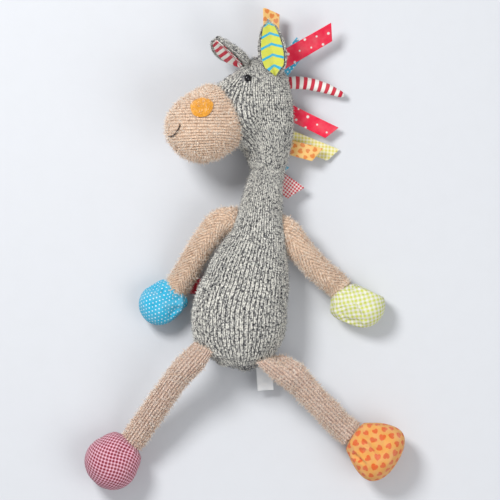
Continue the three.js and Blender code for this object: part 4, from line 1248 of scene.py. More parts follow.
@functools.cache
def body_form():
    """The pear of the body, read off its solid level by level from the seat to the neck."""
    walls = walls_of("body_cover")
    low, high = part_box("body_cover")
    neck = pivot("neck_flop")
    rounds = np.radians(np.linspace(5, 90, SEAT_ROWS))
    levels = np.concatenate([
        low.y + SEAT_ROUND * (1 - np.cos(rounds)),
        np.linspace(low.y + SEAT_ROUND, high.y - NECK_TRIM, BODY_ROWS)[1:],
    ])
    lean = np.clip((levels - LEAN_STARTS) / (neck[1] - LEAN_STARTS), 0, 1)
    found = [
        section(walls, (neck[0] * share, level, neck[2] + BELLY_RISE * (1 - share)), RIGHTWARD, UP)
        for level, share in zip(levels, lean)
    ]
    centres, wide, deep = (np.array(values) for values in zip(*found))
    drawn_in = np.interp(levels, LEFT_SIDE_LEVELS, LEFT_SIDE_DRAWN_IN)
    let_out = np.interp(levels, RIGHT_SIDE_LEVELS, RIGHT_SIDE_LET_OUT)
    rise = SHOULDER_RISE * np.exp(-(((levels - SHOULDER_LEVEL) / SHOULDER_SPREAD) ** 2))
    centres[:, 0] += (drawn_in + let_out) / 2
    centres[:, 2] += rise
    centres = eased(centres, 8)
    centres[:, 1] = levels
    wide = eased(wide + (let_out - drawn_in) / 2, 6)
    deep = eased(deep + rise, 6)
    across = np.tile(RIGHTWARD, (len(levels), 1))
    ends = (np.array((centres[0][0], low.y + 0.0004, centres[0][2])), np.array((neck[0], high.y, neck[2])))
    form = loft(centres, across, wide, deep, BODY_COLS, ends)
    return on_floor(form.grown(lumps(form, size=0.03, height=0.0011, seed=1) + 0.0006))


class PLUSH_OT_body(bpy.types.Operator):
    """Knit the pear-shaped body that runs up into the neck"""

    bl_idname = "plush.body"
    bl_label = "Body"

    def execute(self, context):
        knit = context.scene.plush_knit
        form = body_form()
        knitted("body", form, Carrier("torso"), "marled", knit.body_wales, aspect=0.64,
                rows=(7, form.rows - 6), seed=11, node="body_cover", filling="body_filling", hairs=BODY_HAIRS,
                hair_length=knit.halo_length)
        return {"FINISHED"}


# Head

TURN = math.radians(HEAD_TURN)
HEAD_X = offset(math.cos(TURN), 0, -math.sin(TURN))
HEAD_Y = offset(0.0, 1.0)
HEAD_Z = offset(math.sin(TURN), 0, math.cos(TURN))
FORWARD = -math.cos(math.radians(FACE_DROP)) * HEAD_X - math.sin(math.radians(FACE_DROP)) * HEAD_Y


def in_head(x, y, z=0.0):
    """A place in the head's own frame at the neck joint: forward is -x, up is y, near side is z."""
    return pivot("neck_flop") + HEAD_X * x + HEAD_Y * y + HEAD_Z * z


@functools.cache
def head_form():
    """Skull and face together, read off the solid in rays round the neck line."""
    walls = walls_of("head_cover", "head_filling")
    seam = in_head(*MUZZLE_SEAM)
    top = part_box("head_cover")[1].y - pivot("neck_flop")[1]
    rounds = np.radians(np.linspace(0, 83, 24))
    heights = np.concatenate([
        np.linspace(0.004, top - SKULL_ROUND, 46)[:-1],
        top - SKULL_ROUND + SKULL_ROUND * np.sin(rounds),
    ])
    turn = round_about(HEAD_COLS)
    middles = flow((0, 0.024, 0.055, top - SKULL_ROUND, top), (0.0, 0.002, -0.008, -0.010, -0.008), heights)
    radii = np.zeros((len(heights), HEAD_COLS))
    for i, (height, middle) in enumerate(zip(heights, middles)):
        centre = in_head(middle, height)
        room = (seam - centre) @ FORWARD + 0.003
        for j, angle in enumerate(turn):
            direction = HEAD_X * math.cos(angle) + HEAD_Z * math.sin(angle)
            reach = reach_of(walls, centre, direction)
            facing = direction @ FORWARD
            radii[i, j] = min(reach, room / facing) if facing > 0.05 else reach
    radii = eased(np.maximum(radii, 0.004), 7, ring=True)
    chin = np.interp(heights, CHIN_HEIGHTS, CHIN_REACH) + middles * HEAD_X[0]
    ahead = -HEAD_X[0] * np.cos(turn)
    limit = np.where(ahead > 0.25, chin[:, None] / np.maximum(ahead, 0.25), np.inf)
    radii = eased(np.minimum(radii, limit), 2, ring=True)
    hem = np.linspace(-0.006, 0.003, 7)
    heights = np.concatenate([hem, heights])
    middles = np.concatenate([np.full(len(hem), middles[0]), middles])
    cuff = radii[0] * np.linspace(0.90, 1.0, len(hem))[:, None]
    radii = np.concatenate([cuff, radii])
    directions = HEAD_X * np.cos(turn)[:, None] + HEAD_Z * np.sin(turn)[:, None]
    centres = np.array([in_head(m, h) for m, h in zip(middles, heights)])
    rings = centres[:, None] + directions[None] * radii[..., None]
    form = Form(rings, in_head(0, -0.005), in_head(middles[-1], top))
    return on_floor(form.grown(lumps(form, size=0.026, height=0.0009, seed=2) + 0.0005))


@functools.cache
def muzzle_form():
    """The ball of the muzzle, in rings round its upright line."""
    form = ball_form(hull_of("muzzle_cover"), middle_of("muzzle_cover"), HEAD_Y, HEAD_X, rows=76, cols=150,
                     swell=-0.0002, seed=3)
    return moved(form, MUZZLE_RISE)


def moved(form, shift, stretch=(1.0, 1.0)):
    """A form set off its solid by a small shift, and let out or drawn in from side to side."""
    middle = form.rings.mean((0, 1))
    scale = np.array((*stretch, 1.0))
    rings, start, end = (middle + (p - middle) * scale + shift for p in (form.rings, form.start, form.end))
    return Form(rings, start, end)


def ball_form(walls, centre, pole, side, rows, cols, swell, seed):
    """Rings round a pole, read off a closed solid in rays from its middle."""
    third = np.cross(pole, side)
    polar = np.pi * (np.arange(rows) + 0.6) / (rows + 0.2)
    turn = round_about(cols)
    directions = (
        pole * np.cos(polar)[:, None, None]
        + (side * np.cos(turn)[:, None] + third * np.sin(turn)[:, None])[None] * np.sin(polar)[:, None, None]
    )
    radii = np.array([[reach_of(walls, centre, d) for d in ring] for ring in directions])
    radii = eased(radii, 5, ring=True)
    rings = centre + directions * radii[..., None]
    form = Form(rings, centre + pole * radii[0].mean(), centre - pole * radii[-1].mean())
    return form.grown(lumps(form, size=0.02, height=0.0008, seed=seed) + swell)


def eye_line(which):
    """The middle of an eye's washer, and the way its stem points from there."""
    washer = middle_of(f"{which}_eye_washer")
    return washer, unit(middle_of(f"{which}_eye") + EYE_SHIFT[which] - washer)


class PLUSH_OT_head(bpy.types.Operator):
    """Knit the head, from the neck seam up over the skull and out to the muzzle"""

    bl_idname = "plush.head"
    bl_label = "Head"

    def execute(self, context):
        knit = context.scene.plush_knit
        form = head_form()
        muzzle = middle_of("muzzle_cover") + MUZZLE_RISE
        low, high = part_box("muzzle_cover")
        size = np.array(high - low) / 2 * 0.9
        eyes = [eye_line(which) for which in ("near", "far")]

        def clear_of_face(spots):
            open_spots = (((spots - muzzle) / size) ** 2).sum(1) > 1
            for stem, way in eyes:
                apart = np.linalg.norm(np.cross(spots - stem, way), axis=1)
                open_spots &= (apart > EYE_CLEARANCE) | ((spots - stem) @ way < 0)
            return open_spots

        carrier = bending("torso", "head", pivot("neck_flop"), HEAD_Y, NECK_FOLD)
        knitted("head", form, carrier, "marled", knit.head_wales, aspect=0.72, rows=(1, form.rows - 6),
                seed=12, node="head_cover", filling="head_filling", hairs=HEAD_HAIRS,
                hair_length=knit.halo_length, keep=clear_of_face)
        return {"FINISHED"}


class PLUSH_OT_muzzle(bpy.types.Operator):
    """Knit the ball of the muzzle, its wales running round it from side to side"""

    bl_idname = "plush.muzzle"
    bl_label = "Muzzle"

    def execute(self, context):
        knit = context.scene.plush_knit
        form = muzzle_form()
        head = Carrier("head")
        wale = knit.muzzle_wale
        lines = np.cumsum(form.stride()) / wale
        ridges = grooves(lines, 1.3 * knit.rib_depth)
        yarn, slot = finish_of(brushed_yarn, MUZZLE_GROOVE_SHADE), "beige_knit"
        # The muzzle's cover keeps no ridge values, so its yarn paints it in full shade, dark between the loops
        ground = form.grown(np.tile(ridges[:, None], (1, form.cols)) - MUZZLE_SINK)
        head.take(ground.piece("muzzle_cover_knit", yarn), slot, ["muzzle_cover"], fill=0.9)
        head.take(self.loops(form, lines, wale, yarn), slot)
        fibre = finish_of(loose_fibre, "brushed")
        for name, hairs, length, lean, seed in (
            ("muzzle_fuzz", BRUSHED_HAIRS, knit.fuzz_length, 1.1, 31),
            ("muzzle_tufts", 1.4 * TUFTS, TUFT_LENGTH, TUFT_LEAN, 34),
        ):
            head.take(loose_fibres(name, form, hairs, length, lean, seed, fibre), slot)
        return {"FINISHED"}

    @staticmethod
    def loops(form, lines, wale, yarn):
        """Loops whose wales are the rings themselves."""
        seam, girth = in_head(*MUZZLE_SEAM), form.girth()
        rows, cols = [], []
        for line in np.arange(math.ceil(lines[2]), lines[-3]):
            row = float(np.interp(line, lines, np.arange(form.rows)))
            count = int(np.interp(row, np.arange(form.rows), girth) / (0.8 * wale))
            rows += [row] * count
            cols += list((np.arange(count) + 0.5 * (line % 2)) * form.cols / count)
        row, col = np.array(rows), np.array(cols)
        spot, facing = form.sample(form.rings, row, col), form.sample(form.normals, row, col)
        run = form.sample(form.rings, row, col + 0.5) - form.sample(form.rings, row, col - 0.5)
        tone = np.random.default_rng(13).random(len(row))
        span = np.tile((0.78 * wale, 0.8 * wale, 0.72 * wale), (len(row), 1))
        spot = spot - facing * 0.0005
        seen = (spot - seam) @ FORWARD > -0.006
        return loops_piece("muzzle_loops", *(x[seen] for x in (spot, facing, units(run), span, tone)), yarn)


# Face


class PLUSH_OT_face(bpy.types.Operator):
    """Set the eyes, the felt nostrils and the sewn mouth"""

    bl_idname = "plush.face"
    bl_label = "Face"

    def execute(self, context):
        skin, face = walls_of_form(muzzle_form()), walls_of_form(head_form())
        for which in ("near", "far"):
            self.eye(which, face)
            self.nostril(which, skin)
        self.mouth(skin)
        return {"FINISHED"}

    @staticmethod
    def eye(which, face):
        """Glossy dome with a moulded rim, on the stem that runs to its washer."""
        washer = frame["nodes"][f"{which}_eye_washer"]
        washer.data.materials.clear()
        washer.data.materials.append(finish_of(moulded_washer))
        points = points_of(f"{which}_eye")
        line, axis = eye_line(which)
        straight = unit(middle_of(f"{which}_eye") - line)
        away = points - np.outer(points @ straight, straight)
        radius = np.linalg.norm(away - away.mean(0), axis=1).max()
        foot, rim = EYE_STEM_FOOT, reach_of(face, line, axis) + EYE_LIFT
        top = rim + 0.75 * radius
        stem = 0.35 * radius
        profile = [(foot, stem), (rim - 0.0006, stem), (rim - EYE_RIM, 0.9 * radius), (rim, radius),
                   (rim + EYE_RIM, 0.985 * radius)]
        profile += [(rim + EYE_RIM + (top - rim) * math.sin(a), 0.97 * radius * math.cos(a))
                    for a in np.radians(np.linspace(8, 84, 9))]
        heights, reach = (np.array(x) for x in zip(*profile))
        side = unit(np.cross(axis, UP + offset(0.2, 0)))
        other = np.cross(axis, side)
        turn = round_about(EYE_COLS)
        ring = side * np.cos(turn)[:, None] + other * np.sin(turn)[:, None]
        rings = (line + np.outer(heights, axis))[:, None] + ring[None] * reach[:, None, None]
        ends = line + axis * foot, line + axis * (top + EYE_RIM)
        bead = closed_piece(f"{which}_eye_bead", rings, *ends, finish_of(polished_bead))
        Carrier("head").take(bead, "eye_plastic", [f"{which}_eye"])

    @staticmethod
    def nostril(which, skin):
        """Hand-cut felt disc laid on the muzzle."""
        muzzle = middle_of("muzzle_cover") + MUZZLE_RISE
        centre = middle_of(f"{which}_nostril") + MUZZLE_RISE
        points = points_of(f"{which}_nostril") + MUZZLE_RISE - centre
        centre = centre + NOSTRIL_SHIFT[which]
        out = unit(centre - muzzle)
        side = unit(np.cross(HEAD_Y, out))
        other = np.cross(out, side)
        half_wide = np.abs(points @ side).max()
        half_high = np.abs(points @ other).max()
        turn = round_about(NOSTRIL_COLS)
        cut = 1 + 0.03 * np.sin(3 * turn + 0.6) + 0.02 * np.sin(5 * turn)

        def on_skin(direction, lift):
            return muzzle + direction * (reach_of(skin, muzzle, direction) + lift)

        rings = []
        for share, lift in NOSTRIL_ROWS:
            ring = []
            for angle, wobble in zip(turn, cut):
                flat = centre + side * half_wide * share * wobble * math.cos(angle)
                flat = flat + other * half_high * share * wobble * math.sin(angle)
                ring.append(on_skin(unit(flat - muzzle), FELT_CLEARANCE + FELT_THICKNESS * lift))
            rings.append(ring)
        ends = on_skin(out, FELT_CLEARANCE + FELT_THICKNESS), on_skin(out, 0.0)
        disc = closed_piece(f"{which}_nostril_felt", np.array(rings), *ends, finish_of(felt))
        Carrier("head").take(disc, "orange_felt", [f"{which}_nostril"])

    @staticmethod
    def mouth(skin):
        """Dark thread that lies along the stitched line of the mouth."""
        muzzle = middle_of("muzzle_cover") + MUZZLE_RISE
        points = points_of("mouth_thread") + MUZZLE_RISE
        across = (points - muzzle) @ HEAD_Z
        line = []
        for place in np.linspace(across.min() + MOUTH_END * np.ptp(across), across.max(), 40):
            near = np.abs(across - place) < 0.004
            line.append(points[near].mean(0))
        bend = MOUTH_BEND * np.sin(np.pi * np.linspace(0, 1, len(line)) ** 1.6)
        line = eased(np.array(line), 6) + np.outer(bend, compass(MOUTH_HEADING))
        directions = [unit(point - muzzle) for point in line]
        reaches = [reach_of(skin, muzzle, way) + MOUTH_CLEARANCE for way in directions]
        line = np.array([muzzle + way * reach for way, reach in zip(directions, reaches)])
        twist = MOUTH_THREAD + 0.0001 * np.sin(np.arange(len(line)) * 2.1)
        across = np.cross(np.gradient(line, axis=0), UP + offset(0.03, 0.05))
        form = loft(line, across, twist, twist, 8, (line[0], line[-1]))
        piece = form.piece("mouth_stitching", finish_of(brown_thread))
        Carrier("head").take(piece, "brown_thread", ["mouth_thread"])


def walls_of_form(form):
    """Ray tree of a form's own surface."""
    points = form.rings.reshape(-1, 3)
    grid = np.arange(len(points)).reshape(form.rows, form.cols)
    right = np.roll(grid, -1, 1)
    quads = np.stack([grid[:-1], right[:-1], right[1:], grid[1:]], -1).reshape(-1, 4)
    caps = [grid[0].tolist(), grid[-1].tolist()]
    return BVHTree.FromPolygons(points.tolist(), quads.tolist() + caps)


# Ears


def leaf_form(foot, axes, length, half_width, span, cup, crease, thick, lift=0.0, tip=0.0, swell=0.0):
    """A cupped leaf with a fold up its middle. axes are its lead, its across and its open side.
    It narrows to a point over the share of its length that tip gives, counted from its foot."""
    direction, across, facing = axes
    turn = round_about(LEAF_COLS)
    side = squarish(np.cos(turn), 0.75)
    rings = []
    for share in np.linspace(*span, LEAF_ROWS):
        inside = min(max(share, 0.0), 1.0)
        spread = 0.18 + 0.82 * math.sin(math.pi * inside**0.8) ** 0.72
        point = min(1.0, (1.0 - share) / 0.12 + 0.10) if share > 0.88 else 1.0
        point = min(point, 0.04 + inside / tip) if tip else point
        folded = crease * (1 - inside) ** 0.7 * np.exp(-((side * spread / 0.22) ** 2))
        raised = cup * spread * side**2 - folded + lift + thick * np.sin(turn)
        behind = np.maximum(-np.sin(turn), 0) * spread * (1 - 0.75 * inside)
        ring = np.outer(half_width * spread * point * side, across) + np.outer(raised, facing)
        rings.append(foot + direction * length * share + ring + np.outer(behind, np.ones(3) * swell))
    rings = np.array(rings)
    return Form(rings, rings[0].mean(0), rings[-1].mean(0) + direction * thick), side


class PLUSH_OT_ears(bpy.types.Operator):
    """Sew the two ears: a knitted back, and a cotton lining folded down its middle"""

    bl_idname = "plush.ears"
    bl_label = "Ears"

    def execute(self, context):
        cloth = context.scene.plush_cloth
        lime = finish_of(striped, "lime", cloth.ear_stripe, 0.24, 0.28, cloth.lime, cloth.sky)
        candy = finish_of(striped, "candy", cloth.red_stripe * 1.2, 0.5, 0.5, cloth.white, cloth.crimson)
        self.ear("near", lime, "lime_stripe", seed=21)
        self.ear("far", candy, "red_stripe", seed=22)
        return {"FINISHED"}

    @staticmethod
    def ear(which, lining, slot, seed):
        knit = knit_settings()
        foot, axis = pivot(f"{which}_ear_flop"), hinge(f"{which}_ear_flop")
        points = points_of(f"{which}_ear_back") - foot
        tip = points[np.argmax(np.linalg.norm(points, axis=1))]
        shorten, widen, shift = EAR_FIT[which]
        foot = foot + shift
        length, direction = np.linalg.norm(tip) * shorten, unit(tip)
        across = unit(axis - direction * (axis @ direction))
        roll = math.radians(EAR_ROLL[which])
        across = across * math.cos(roll) - np.cross(direction, across) * math.sin(roll)
        axes = (direction, across, np.cross(direction, across))
        half_width = np.abs(points @ across).max() * widen
        carrier = Carrier(f"{which}_ear")
        back, _ = leaf_form(foot, axes, length, half_width, EAR_SPAN, cup=0.0048, crease=0.0016, thick=0.0016,
                            swell=EAR_SWELL[which])
        knitted(f"{which}_ear", back, carrier, "marled", knit.ear_wales, aspect=0.8, rows=(2, back.rows - 2),
                seed=seed, node=f"{which}_ear_back", filling=None, hairs=HEAD_HAIRS,
                hair_length=knit.halo_length * 0.8, fullness=0.85)
        lined = half_width * LINING_SHARE[which]
        inner, side = leaf_form(foot, axes, length, lined, LINING_SPAN, cup=0.0030, crease=0.0024,
                                thick=0.0009, lift=0.0030, tip=0.20)
        first, last = LINING_SPAN
        rows = np.concatenate([[first], np.linspace(first, last, inner.rows), [last]]) * length
        wide = np.concatenate([side, side[:1]]) * lined
        laid = np.stack(np.broadcast_arrays(wide[None], rows[:, None]), -1)
        piece = inner.piece(f"{which}_ear_lining_cotton", lining, laid)
        carrier.take(piece, slot, [f"{which}_ear_lining"])


# Tabs and strand of the mane, neck tab and tail


class PLUSH_OT_tabs(bpy.types.Operator):
    """Sew the cotton tabs of the mane, the neck and the tail"""

    bl_idname = "plush.tabs"
    bl_label = "Tabs"

    def execute(self, context):
        cloth = context.scene.plush_cloth
        heart = finish_of(hearts, "tabs", cloth.small_heart, cloth.peach, cloth.amber)
        pins = finish_of(dotted, "pins", cloth.pin_repeat, 0.105, cloth.cherry, cloth.white, 14)
        dots = finish_of(dotted, "sky", cloth.dot_repeat, 0.20, cloth.sky, cloth.white)
        check = finish_of(gingham, "yellow", cloth.tab_check, 0, cloth.maize, cloth.butter)
        small = finish_of(gingham, "neck", cloth.neck_check, 30, cloth.rose, cloth.white, 0.56)
        for node, finish, slot, curl in (
            ("crown_orange_tab", heart, "orange_hearts", 0.0020),
            ("crown_red_tab", pins, "red_dots", 0.0030),
            ("crown_blue_tab", dots, "blue_dots", 0.0008),
            ("nape_red_tab", pins, "red_dots", 0.0022),
            ("yellow_tab", check, "yellow_gingham", 0.0010),
            ("nape_orange_tab", heart, "orange_hearts", 0.0012),
            ("nape_blue_tab", dots, "blue_dots", 0.0003),
            ("neck_gingham_tab", small, "red_gingham", 0.0008),
            ("tail_red_tab", pins, "red_dots", 0.0003),
            ("tail_orange_tab", heart, "orange_hearts", 0.0002),
        ):
            self.tab(node, finish, slot, curl)
        return {"FINISHED"}

    @staticmethod
    def tab(node, finish, slot, curl):
        """Two layers of cotton sewn round and turned, its raw end caught in a seam."""
        foot, edge = pivot(f"{node}_flap"), hinge(f"{node}_flap")
        points = (points_of(node) - foot) * TAB_STRETCH.get(node, 1.0)
        foot = foot + TAB_SHIFT.get(node, 0.0)
        lead = unit(points.mean(0) - edge * (points.mean(0) @ edge))
        face = np.cross(edge, lead)
        face = face * math.copysign(1.0, face[2])
        ahead, aside = points @ lead, points @ edge
        middle = (points @ face).mean()
        thick = cloth_settings().tab_thickness / 2
        start, end = ahead.min() + 0.0005, ahead.max() - 0.0002
        length = end - start
        turn = round_about(TAB_COLS)
        side, bulge = squarish(np.cos(turn), 0.45), squarish(np.sin(turn), 0.7)
        rings, laid, widths = [], [], []
        for share in np.concatenate([np.linspace(-TAB_TUCK / length, 0.97, 30), [0.985, 0.995, 1.0]]):
            place = start + share * length
            low, high = outline_at(ahead, aside, min(max(place, start), end))
            widths.append(high - low)
            closing = min(1.0, 0.35 + math.sqrt(max(0.0, (1 - share) * length / thick)) * 0.5)
            wave = curl * (share**2 - 0.35 * math.sin(4.5 * share) * share)
            across = (low + high) / 2 + side * (high - low) / 2
            lift = wave + curl * 0.35 * share * side**2 + thick * closing * bulge
            lift = lift + TAB_RIPPLE * np.sin(9 * share + 2 * side)
            rings.append(foot + lead * place + np.outer(across, edge) + np.outer(middle + lift, face))
            laid.append(np.stack([np.append(across, across[0]), np.full(TAB_COLS + 1, place)], -1))
        rings = np.array(rings)
        laid = np.array([laid[0], *laid, laid[-1]])
        piece = closed_piece(f"{node}_cotton", rings, rings[0].mean(0), rings[-1].mean(0), finish, laid)
        Carrier(node).take(piece, slot, [node])
        cut = (max(LEAST_CUT, max(widths)), max(LEAST_CUT, length + TAB_TUCK))
        area = float(np.mean(widths) * (length + TAB_TUCK))


def outline_at(ahead, aside, level):
    """Lowest and highest side of a flat outline where it crosses a level."""
    first, second = np.meshgrid(np.arange(len(ahead)), np.arange(len(ahead)))
    span = ahead[second] - ahead[first]
    slanting = np.abs(span) > 1e-9
    share = (level - ahead[first]) / np.where(slanting, span, np.inf)
    places = aside[first] + (aside[second] - aside[first]) * share
    crossing = places[(share >= 0) & (share <= 1) & slanting]
    return crossing.min(), crossing.max()


class PLUSH_OT_strand(bpy.types.Operator):
    """Stuff the striped strand of the mane"""

    bl_idname = "plush.strand"
    bl_label = "Striped strand"

    def execute(self, context):
        cloth = context.scene.plush_cloth
        node = "striped_strand"
        foot, points, walls = pivot(f"{node}_flap"), points_of(node), walls_of(node)
        tip = points[np.argmax(np.linalg.norm(points - foot, axis=1))]
        line = tip - foot
        lead = unit(line)
        across = unit(HEAD_Y - lead * lead[1])
        deep = np.cross(lead, across)
        shares = (0.12, 0.3, 0.5, 0.7, 0.86, 0.95)
        middles, wides, deeps = zip(*(section(walls, foot + line * share, across, deep) for share in shares))
        centres = np.array([foot - lead * 0.006, foot, *middles, tip]) + STRAND_SHIFT
        wides = np.array([0.0052, 0.0056, *np.multiply(wides, 1.03), 0.0012])
        deeps = np.array([0.0020, 0.0026, *np.multiply(deeps, 1.03), 0.0012])
        places = run_of(centres)
        wanted = np.linspace(0, places[-1], STRAND_ROWS)
        gather = 1 + 0.03 * np.sin(wanted * 900) * np.sin(wanted * 310)
        wides, deeps = flow(places, wides, wanted) * gather, flow(places, deeps, wanted) * gather
        ends = (centres[0], centres[-1] + lead * 0.0008)
        spine, across = flow(places, centres, wanted), np.tile(across, (STRAND_ROWS, 1))
        form = loft(spine, across, wides, deeps, STRAND_COLS, ends)
        rows = np.concatenate([[0], wanted, [places[-1]]])
        round_it = 0.0002 * np.arange(STRAND_COLS + 1)
        laid = np.stack(np.broadcast_arrays(round_it[None], rows[:, None]), -1)
        candy = finish_of(striped, "strand", cloth.red_stripe, 0.5, 0.0, cloth.white, cloth.crimson)
        piece = form.piece("striped_strand_cotton", candy, laid)
        Carrier(node).take(piece, "red_stripe", [node], fill=0.7)
        return {"FINISHED"}


# Limbs


def arm_form(side):
    """Sleeve of an arm, from inside the body to inside the hand."""
    node = f"{side}_arm_cover"
    shoulder, wrist = pivot(f"{side}_shoulder_lift"), pivot(f"{side}_wrist_flop")
    walls = walls_of(node)
    line = unit(wrist - shoulder)
    across = unit(np.cross(UP, line))
    deep = np.cross(line, across)
    level = unit(line * LEVEL)
    cuffed = wrist + level * SLEEVE_REACH[side]
    inner = across * -math.copysign(1.0, across[1])
    shares = np.array((0.3, 0.55, 0.8))
    found = [section(walls, shoulder + (wrist - shoulder) * share, across, deep) for share in shares]
    bow = np.outer(ARM_BOW * np.sin(np.pi * shares), inner) - np.outer(ARM_DROP * (1 - shares) ** 2, UP)
    middles = np.array([f[0] for f in found]) + bow
    shoulder = shoulder - UP * ARM_DROP + ARM_SHIFT[side]
    inward = np.array((-math.copysign(1.0, shoulder[0] - 0.015), 0.05, -0.15))
    girth = found[1][1]
    cuff, close = sleeve_end(cuffed, level, girth)
    roots = shoulder + np.outer((ARM_ROOT, ARM_NECK), inward)
    centres = np.array([*roots, *middles, cuffed, *cuff])
    wide = np.array([1.25 * girth, 1.2 * girth, *[f[1] * 1.02 for f in found], girth, *close])
    deeps = np.array([0.95 * girth, 1.0 * girth, *[f[2] * 1.02 for f in found], girth, *close])
    return limb_loft(centres, wide, deeps, None, cuff[-1] + level * SLEEVE_CLOSE)


def sleeve_end(joint, line, girth):
    """Places and half sizes of the rounded end that laps over a hand or a foot."""
    turns = np.radians((25, 50, 72))
    return joint + np.outer(0.003 + 0.007 * np.sin(turns), line), girth * np.cos(turns) ** 0.7


def leg_form(side):
    """Sleeve of a leg, from its flat sewn top to inside the foot."""
    node = f"{side}_leg_cover"
    hip, ankle = pivot(f"{side}_hip_lift"), pivot(f"{side}_ankle_flop")
    walls = walls_of(node)
    line = unit(ankle - hip)
    across = unit(np.cross(UP, line))
    deep = np.cross(line, across)
    found = [section(walls, hip + (ankle - hip) * share, across, deep) for share in (0.36, 0.55, 0.75, 0.9)]
    seam = compass(LEG_SEAM_HEADING[side])
    seam = seam * math.copysign(1.0, seam @ across)
    girth = found[1][1]
    cuff, close = sleeve_end(ankle, line, girth)
    heading = compass(LEG_HEADING[side])
    lip = hip + heading * 0.009 + UP * 0.0012
    swell = hip + (found[0][0] - hip) * 0.58 + UP * 0.003
    centres = np.array([hip - heading * 0.001, lip, swell, *[f[0] for f in found], ankle, *cuff])
    shifted = np.array([0.6, 0.7, 0.9, 1.0, 1.0, 0.9, 0.6, 0.5] + [0.5] * len(cuff))
    bowed = np.array([0.0, 0.3, 0.8, 1.0, 0.6, 0.2, 0.0, 0.0] + [0.0] * len(cuff))
    centres = centres + np.outer(shifted, LEG_SHIFT[side]) + np.outer(bowed, LEG_BOW[side])
    top = [share * girth * HIP_FLARE[side] for share in (0.84, 0.97, 1.02)]
    wide = np.array([*top, *[f[1] for f in found], girth, *close])
    wide = wide - LEG_TRIM * np.minimum(1, wide / girth)
    deeps = np.array([0.0016, 0.0052, 0.0100, *[f[2] - LEG_TRIM for f in found], girth, *close])
    turns = np.tile(across, (len(centres), 1))
    form = limb_loft(centres, wide, deeps, turns, cuff[-1] + line * SLEEVE_CLOSE)
    return laid_on_seat(cut_slantwise(form, line, (seam @ line) / (seam @ across)))


def laid_on_seat(form):
    """A leg whose flat top follows the roundness of the seat that it is sewn to."""
    seat, level = walls_of_form(body_form()), middle_of("body_cover")[2]
    heights = []
    for x, y, _ in form.rings[0]:
        place = seat.ray_cast(Vector((x, y, RAY_REACH)), Vector(-UP))[0]
        place = place or seat.find_nearest(Vector((x, y, level)))[0]
        heights.append(place.z + SEAT_CLEARANCE)
    heights = eased(np.array(heights)[None], 6, ring=True)[0]
    fading = np.exp(-((np.cumsum(form.stride()) / SEAT_FADES) ** 2))
    rings = form.rings.copy()
    rings[..., 2] += np.outer(fading, heights - form.rings[0][:, 2].mean())
    return on_floor(Form(rings, rings[0].mean(0), form.end))


def cut_slantwise(form, line, slant):
    """A leg whose two edges slip along it, one up and one down, until its top lies along its seam."""
    middle = form.rings.mean(1, keepdims=True)
    flat = unit(np.cross(UP, line))
    run = np.cumsum(form.stride())
    fading = np.exp(-((run / SLANT_FADES) ** 2))
    slip = ((form.rings - middle) @ flat) * slant * fading[:, None]
    return Form(form.rings + slip[..., None] * line, form.start, form.end)


def limb_loft(centres, wide, deeps, turns, end):
    """Loft through a limb's stations, with rings about a millimetre and a half apart."""
    places = run_of(centres)
    wanted = np.linspace(0, places[-1], int(places[-1] / LIMB_STEP))
    spine, wide, deeps = (flow(places, values, wanted) for values in (centres, wide, deeps))
    if turns is None:
        across = np.cross(UP, np.gradient(spine, axis=0))
    else:
        across = flow(places, turns, wanted)
    form = loft(spine, across, wide, deeps, LIMB_COLS, (centres[0], end))
    return on_floor(form.grown(lumps(form, size=0.016, height=LIMB_LUMPS, seed=5)))


class PLUSH_OT_arms(bpy.types.Operator):
    """Knit the two brushed sleeves of the arms"""

    bl_idname = "plush.arms"
    bl_label = "Arms"

    def execute(self, context):
        knit = context.scene.plush_knit
        for seed, side in ((41, "left"), (42, "right")):
            form = arm_form(side)
            shoulder, wrist = pivot(f"{side}_shoulder_lift"), pivot(f"{side}_wrist_flop")
            carrier = bending("torso", f"{side}_arm", shoulder, unit(wrist - shoulder), ARM_FOLD)
            knitted(f"{side}_arm", form, carrier, "brushed", knit.arm_wales, aspect=0.8,
                    rows=(3, form.rows - 3), seed=seed, node=f"{side}_arm_cover", filling=f"{side}_arm_filling",
                    hairs=BRUSHED_HAIRS, hair_length=knit.fuzz_length, groove=ARM_GROOVE_SHADE, slope=HERRINGBONE[side], slim=SLIM)
        return {"FINISHED"}


class PLUSH_OT_legs(bpy.types.Operator):
    """Knit the two brushed sleeves of the legs, sewn flat across the front of the seat"""

    bl_idname = "plush.legs"
    bl_label = "Legs"

    def execute(self, context):
        knit = context.scene.plush_knit
        for seed, side in ((51, "left"), (52, "right")):
            form = leg_form(side)
            hip, ankle = pivot(f"{side}_hip_lift"), pivot(f"{side}_ankle_flop")
            line = unit(ankle - hip)
            seam = compass(LEG_SEAM_HEADING[side])
            down = unit((line - seam * (seam @ line)) * LEVEL)
            sewn = hip + down * ((form.rings[0] - hip) @ down).max()
            carrier = bending("torso", f"{side}_leg", sewn, down, LEG_FOLD)
            knitted(f"{side}_leg", form, carrier, "brushed", knit.leg_wales, aspect=0.9,
                    rows=(1, form.rows - 3), seed=seed, node=f"{side}_leg_cover", filling=f"{side}_leg_filling",
                    hairs=BRUSHED_HAIRS, hair_length=knit.fuzz_length, groove=LEG_GROOVE_SHADE, shade=LEG_SHADE, empty=FLAT_ROWS,
                    slim=SLIM)
        return {"FINISHED"}


# Hands and feet


def pillow_laid(form, whorl):
    """Cloth places of a pouch of two panels, each laid out from its own pole."""
    start, end = (np.broadcast_to(pole, (1, form.cols, 3)) for pole in (form.start, form.end))
    arc = run_of(np.concatenate([start, form.rings, end]))
    arc = np.minimum(arc, arc[-1:] - arc)
    arc = np.concatenate([arc, arc[:, :1]], axis=1)
    angle = FULL_TURN * np.arange(form.cols + 1) / form.cols + whorl * arc
    return np.stack([arc * np.cos(angle), arc * np.sin(angle)], -1)


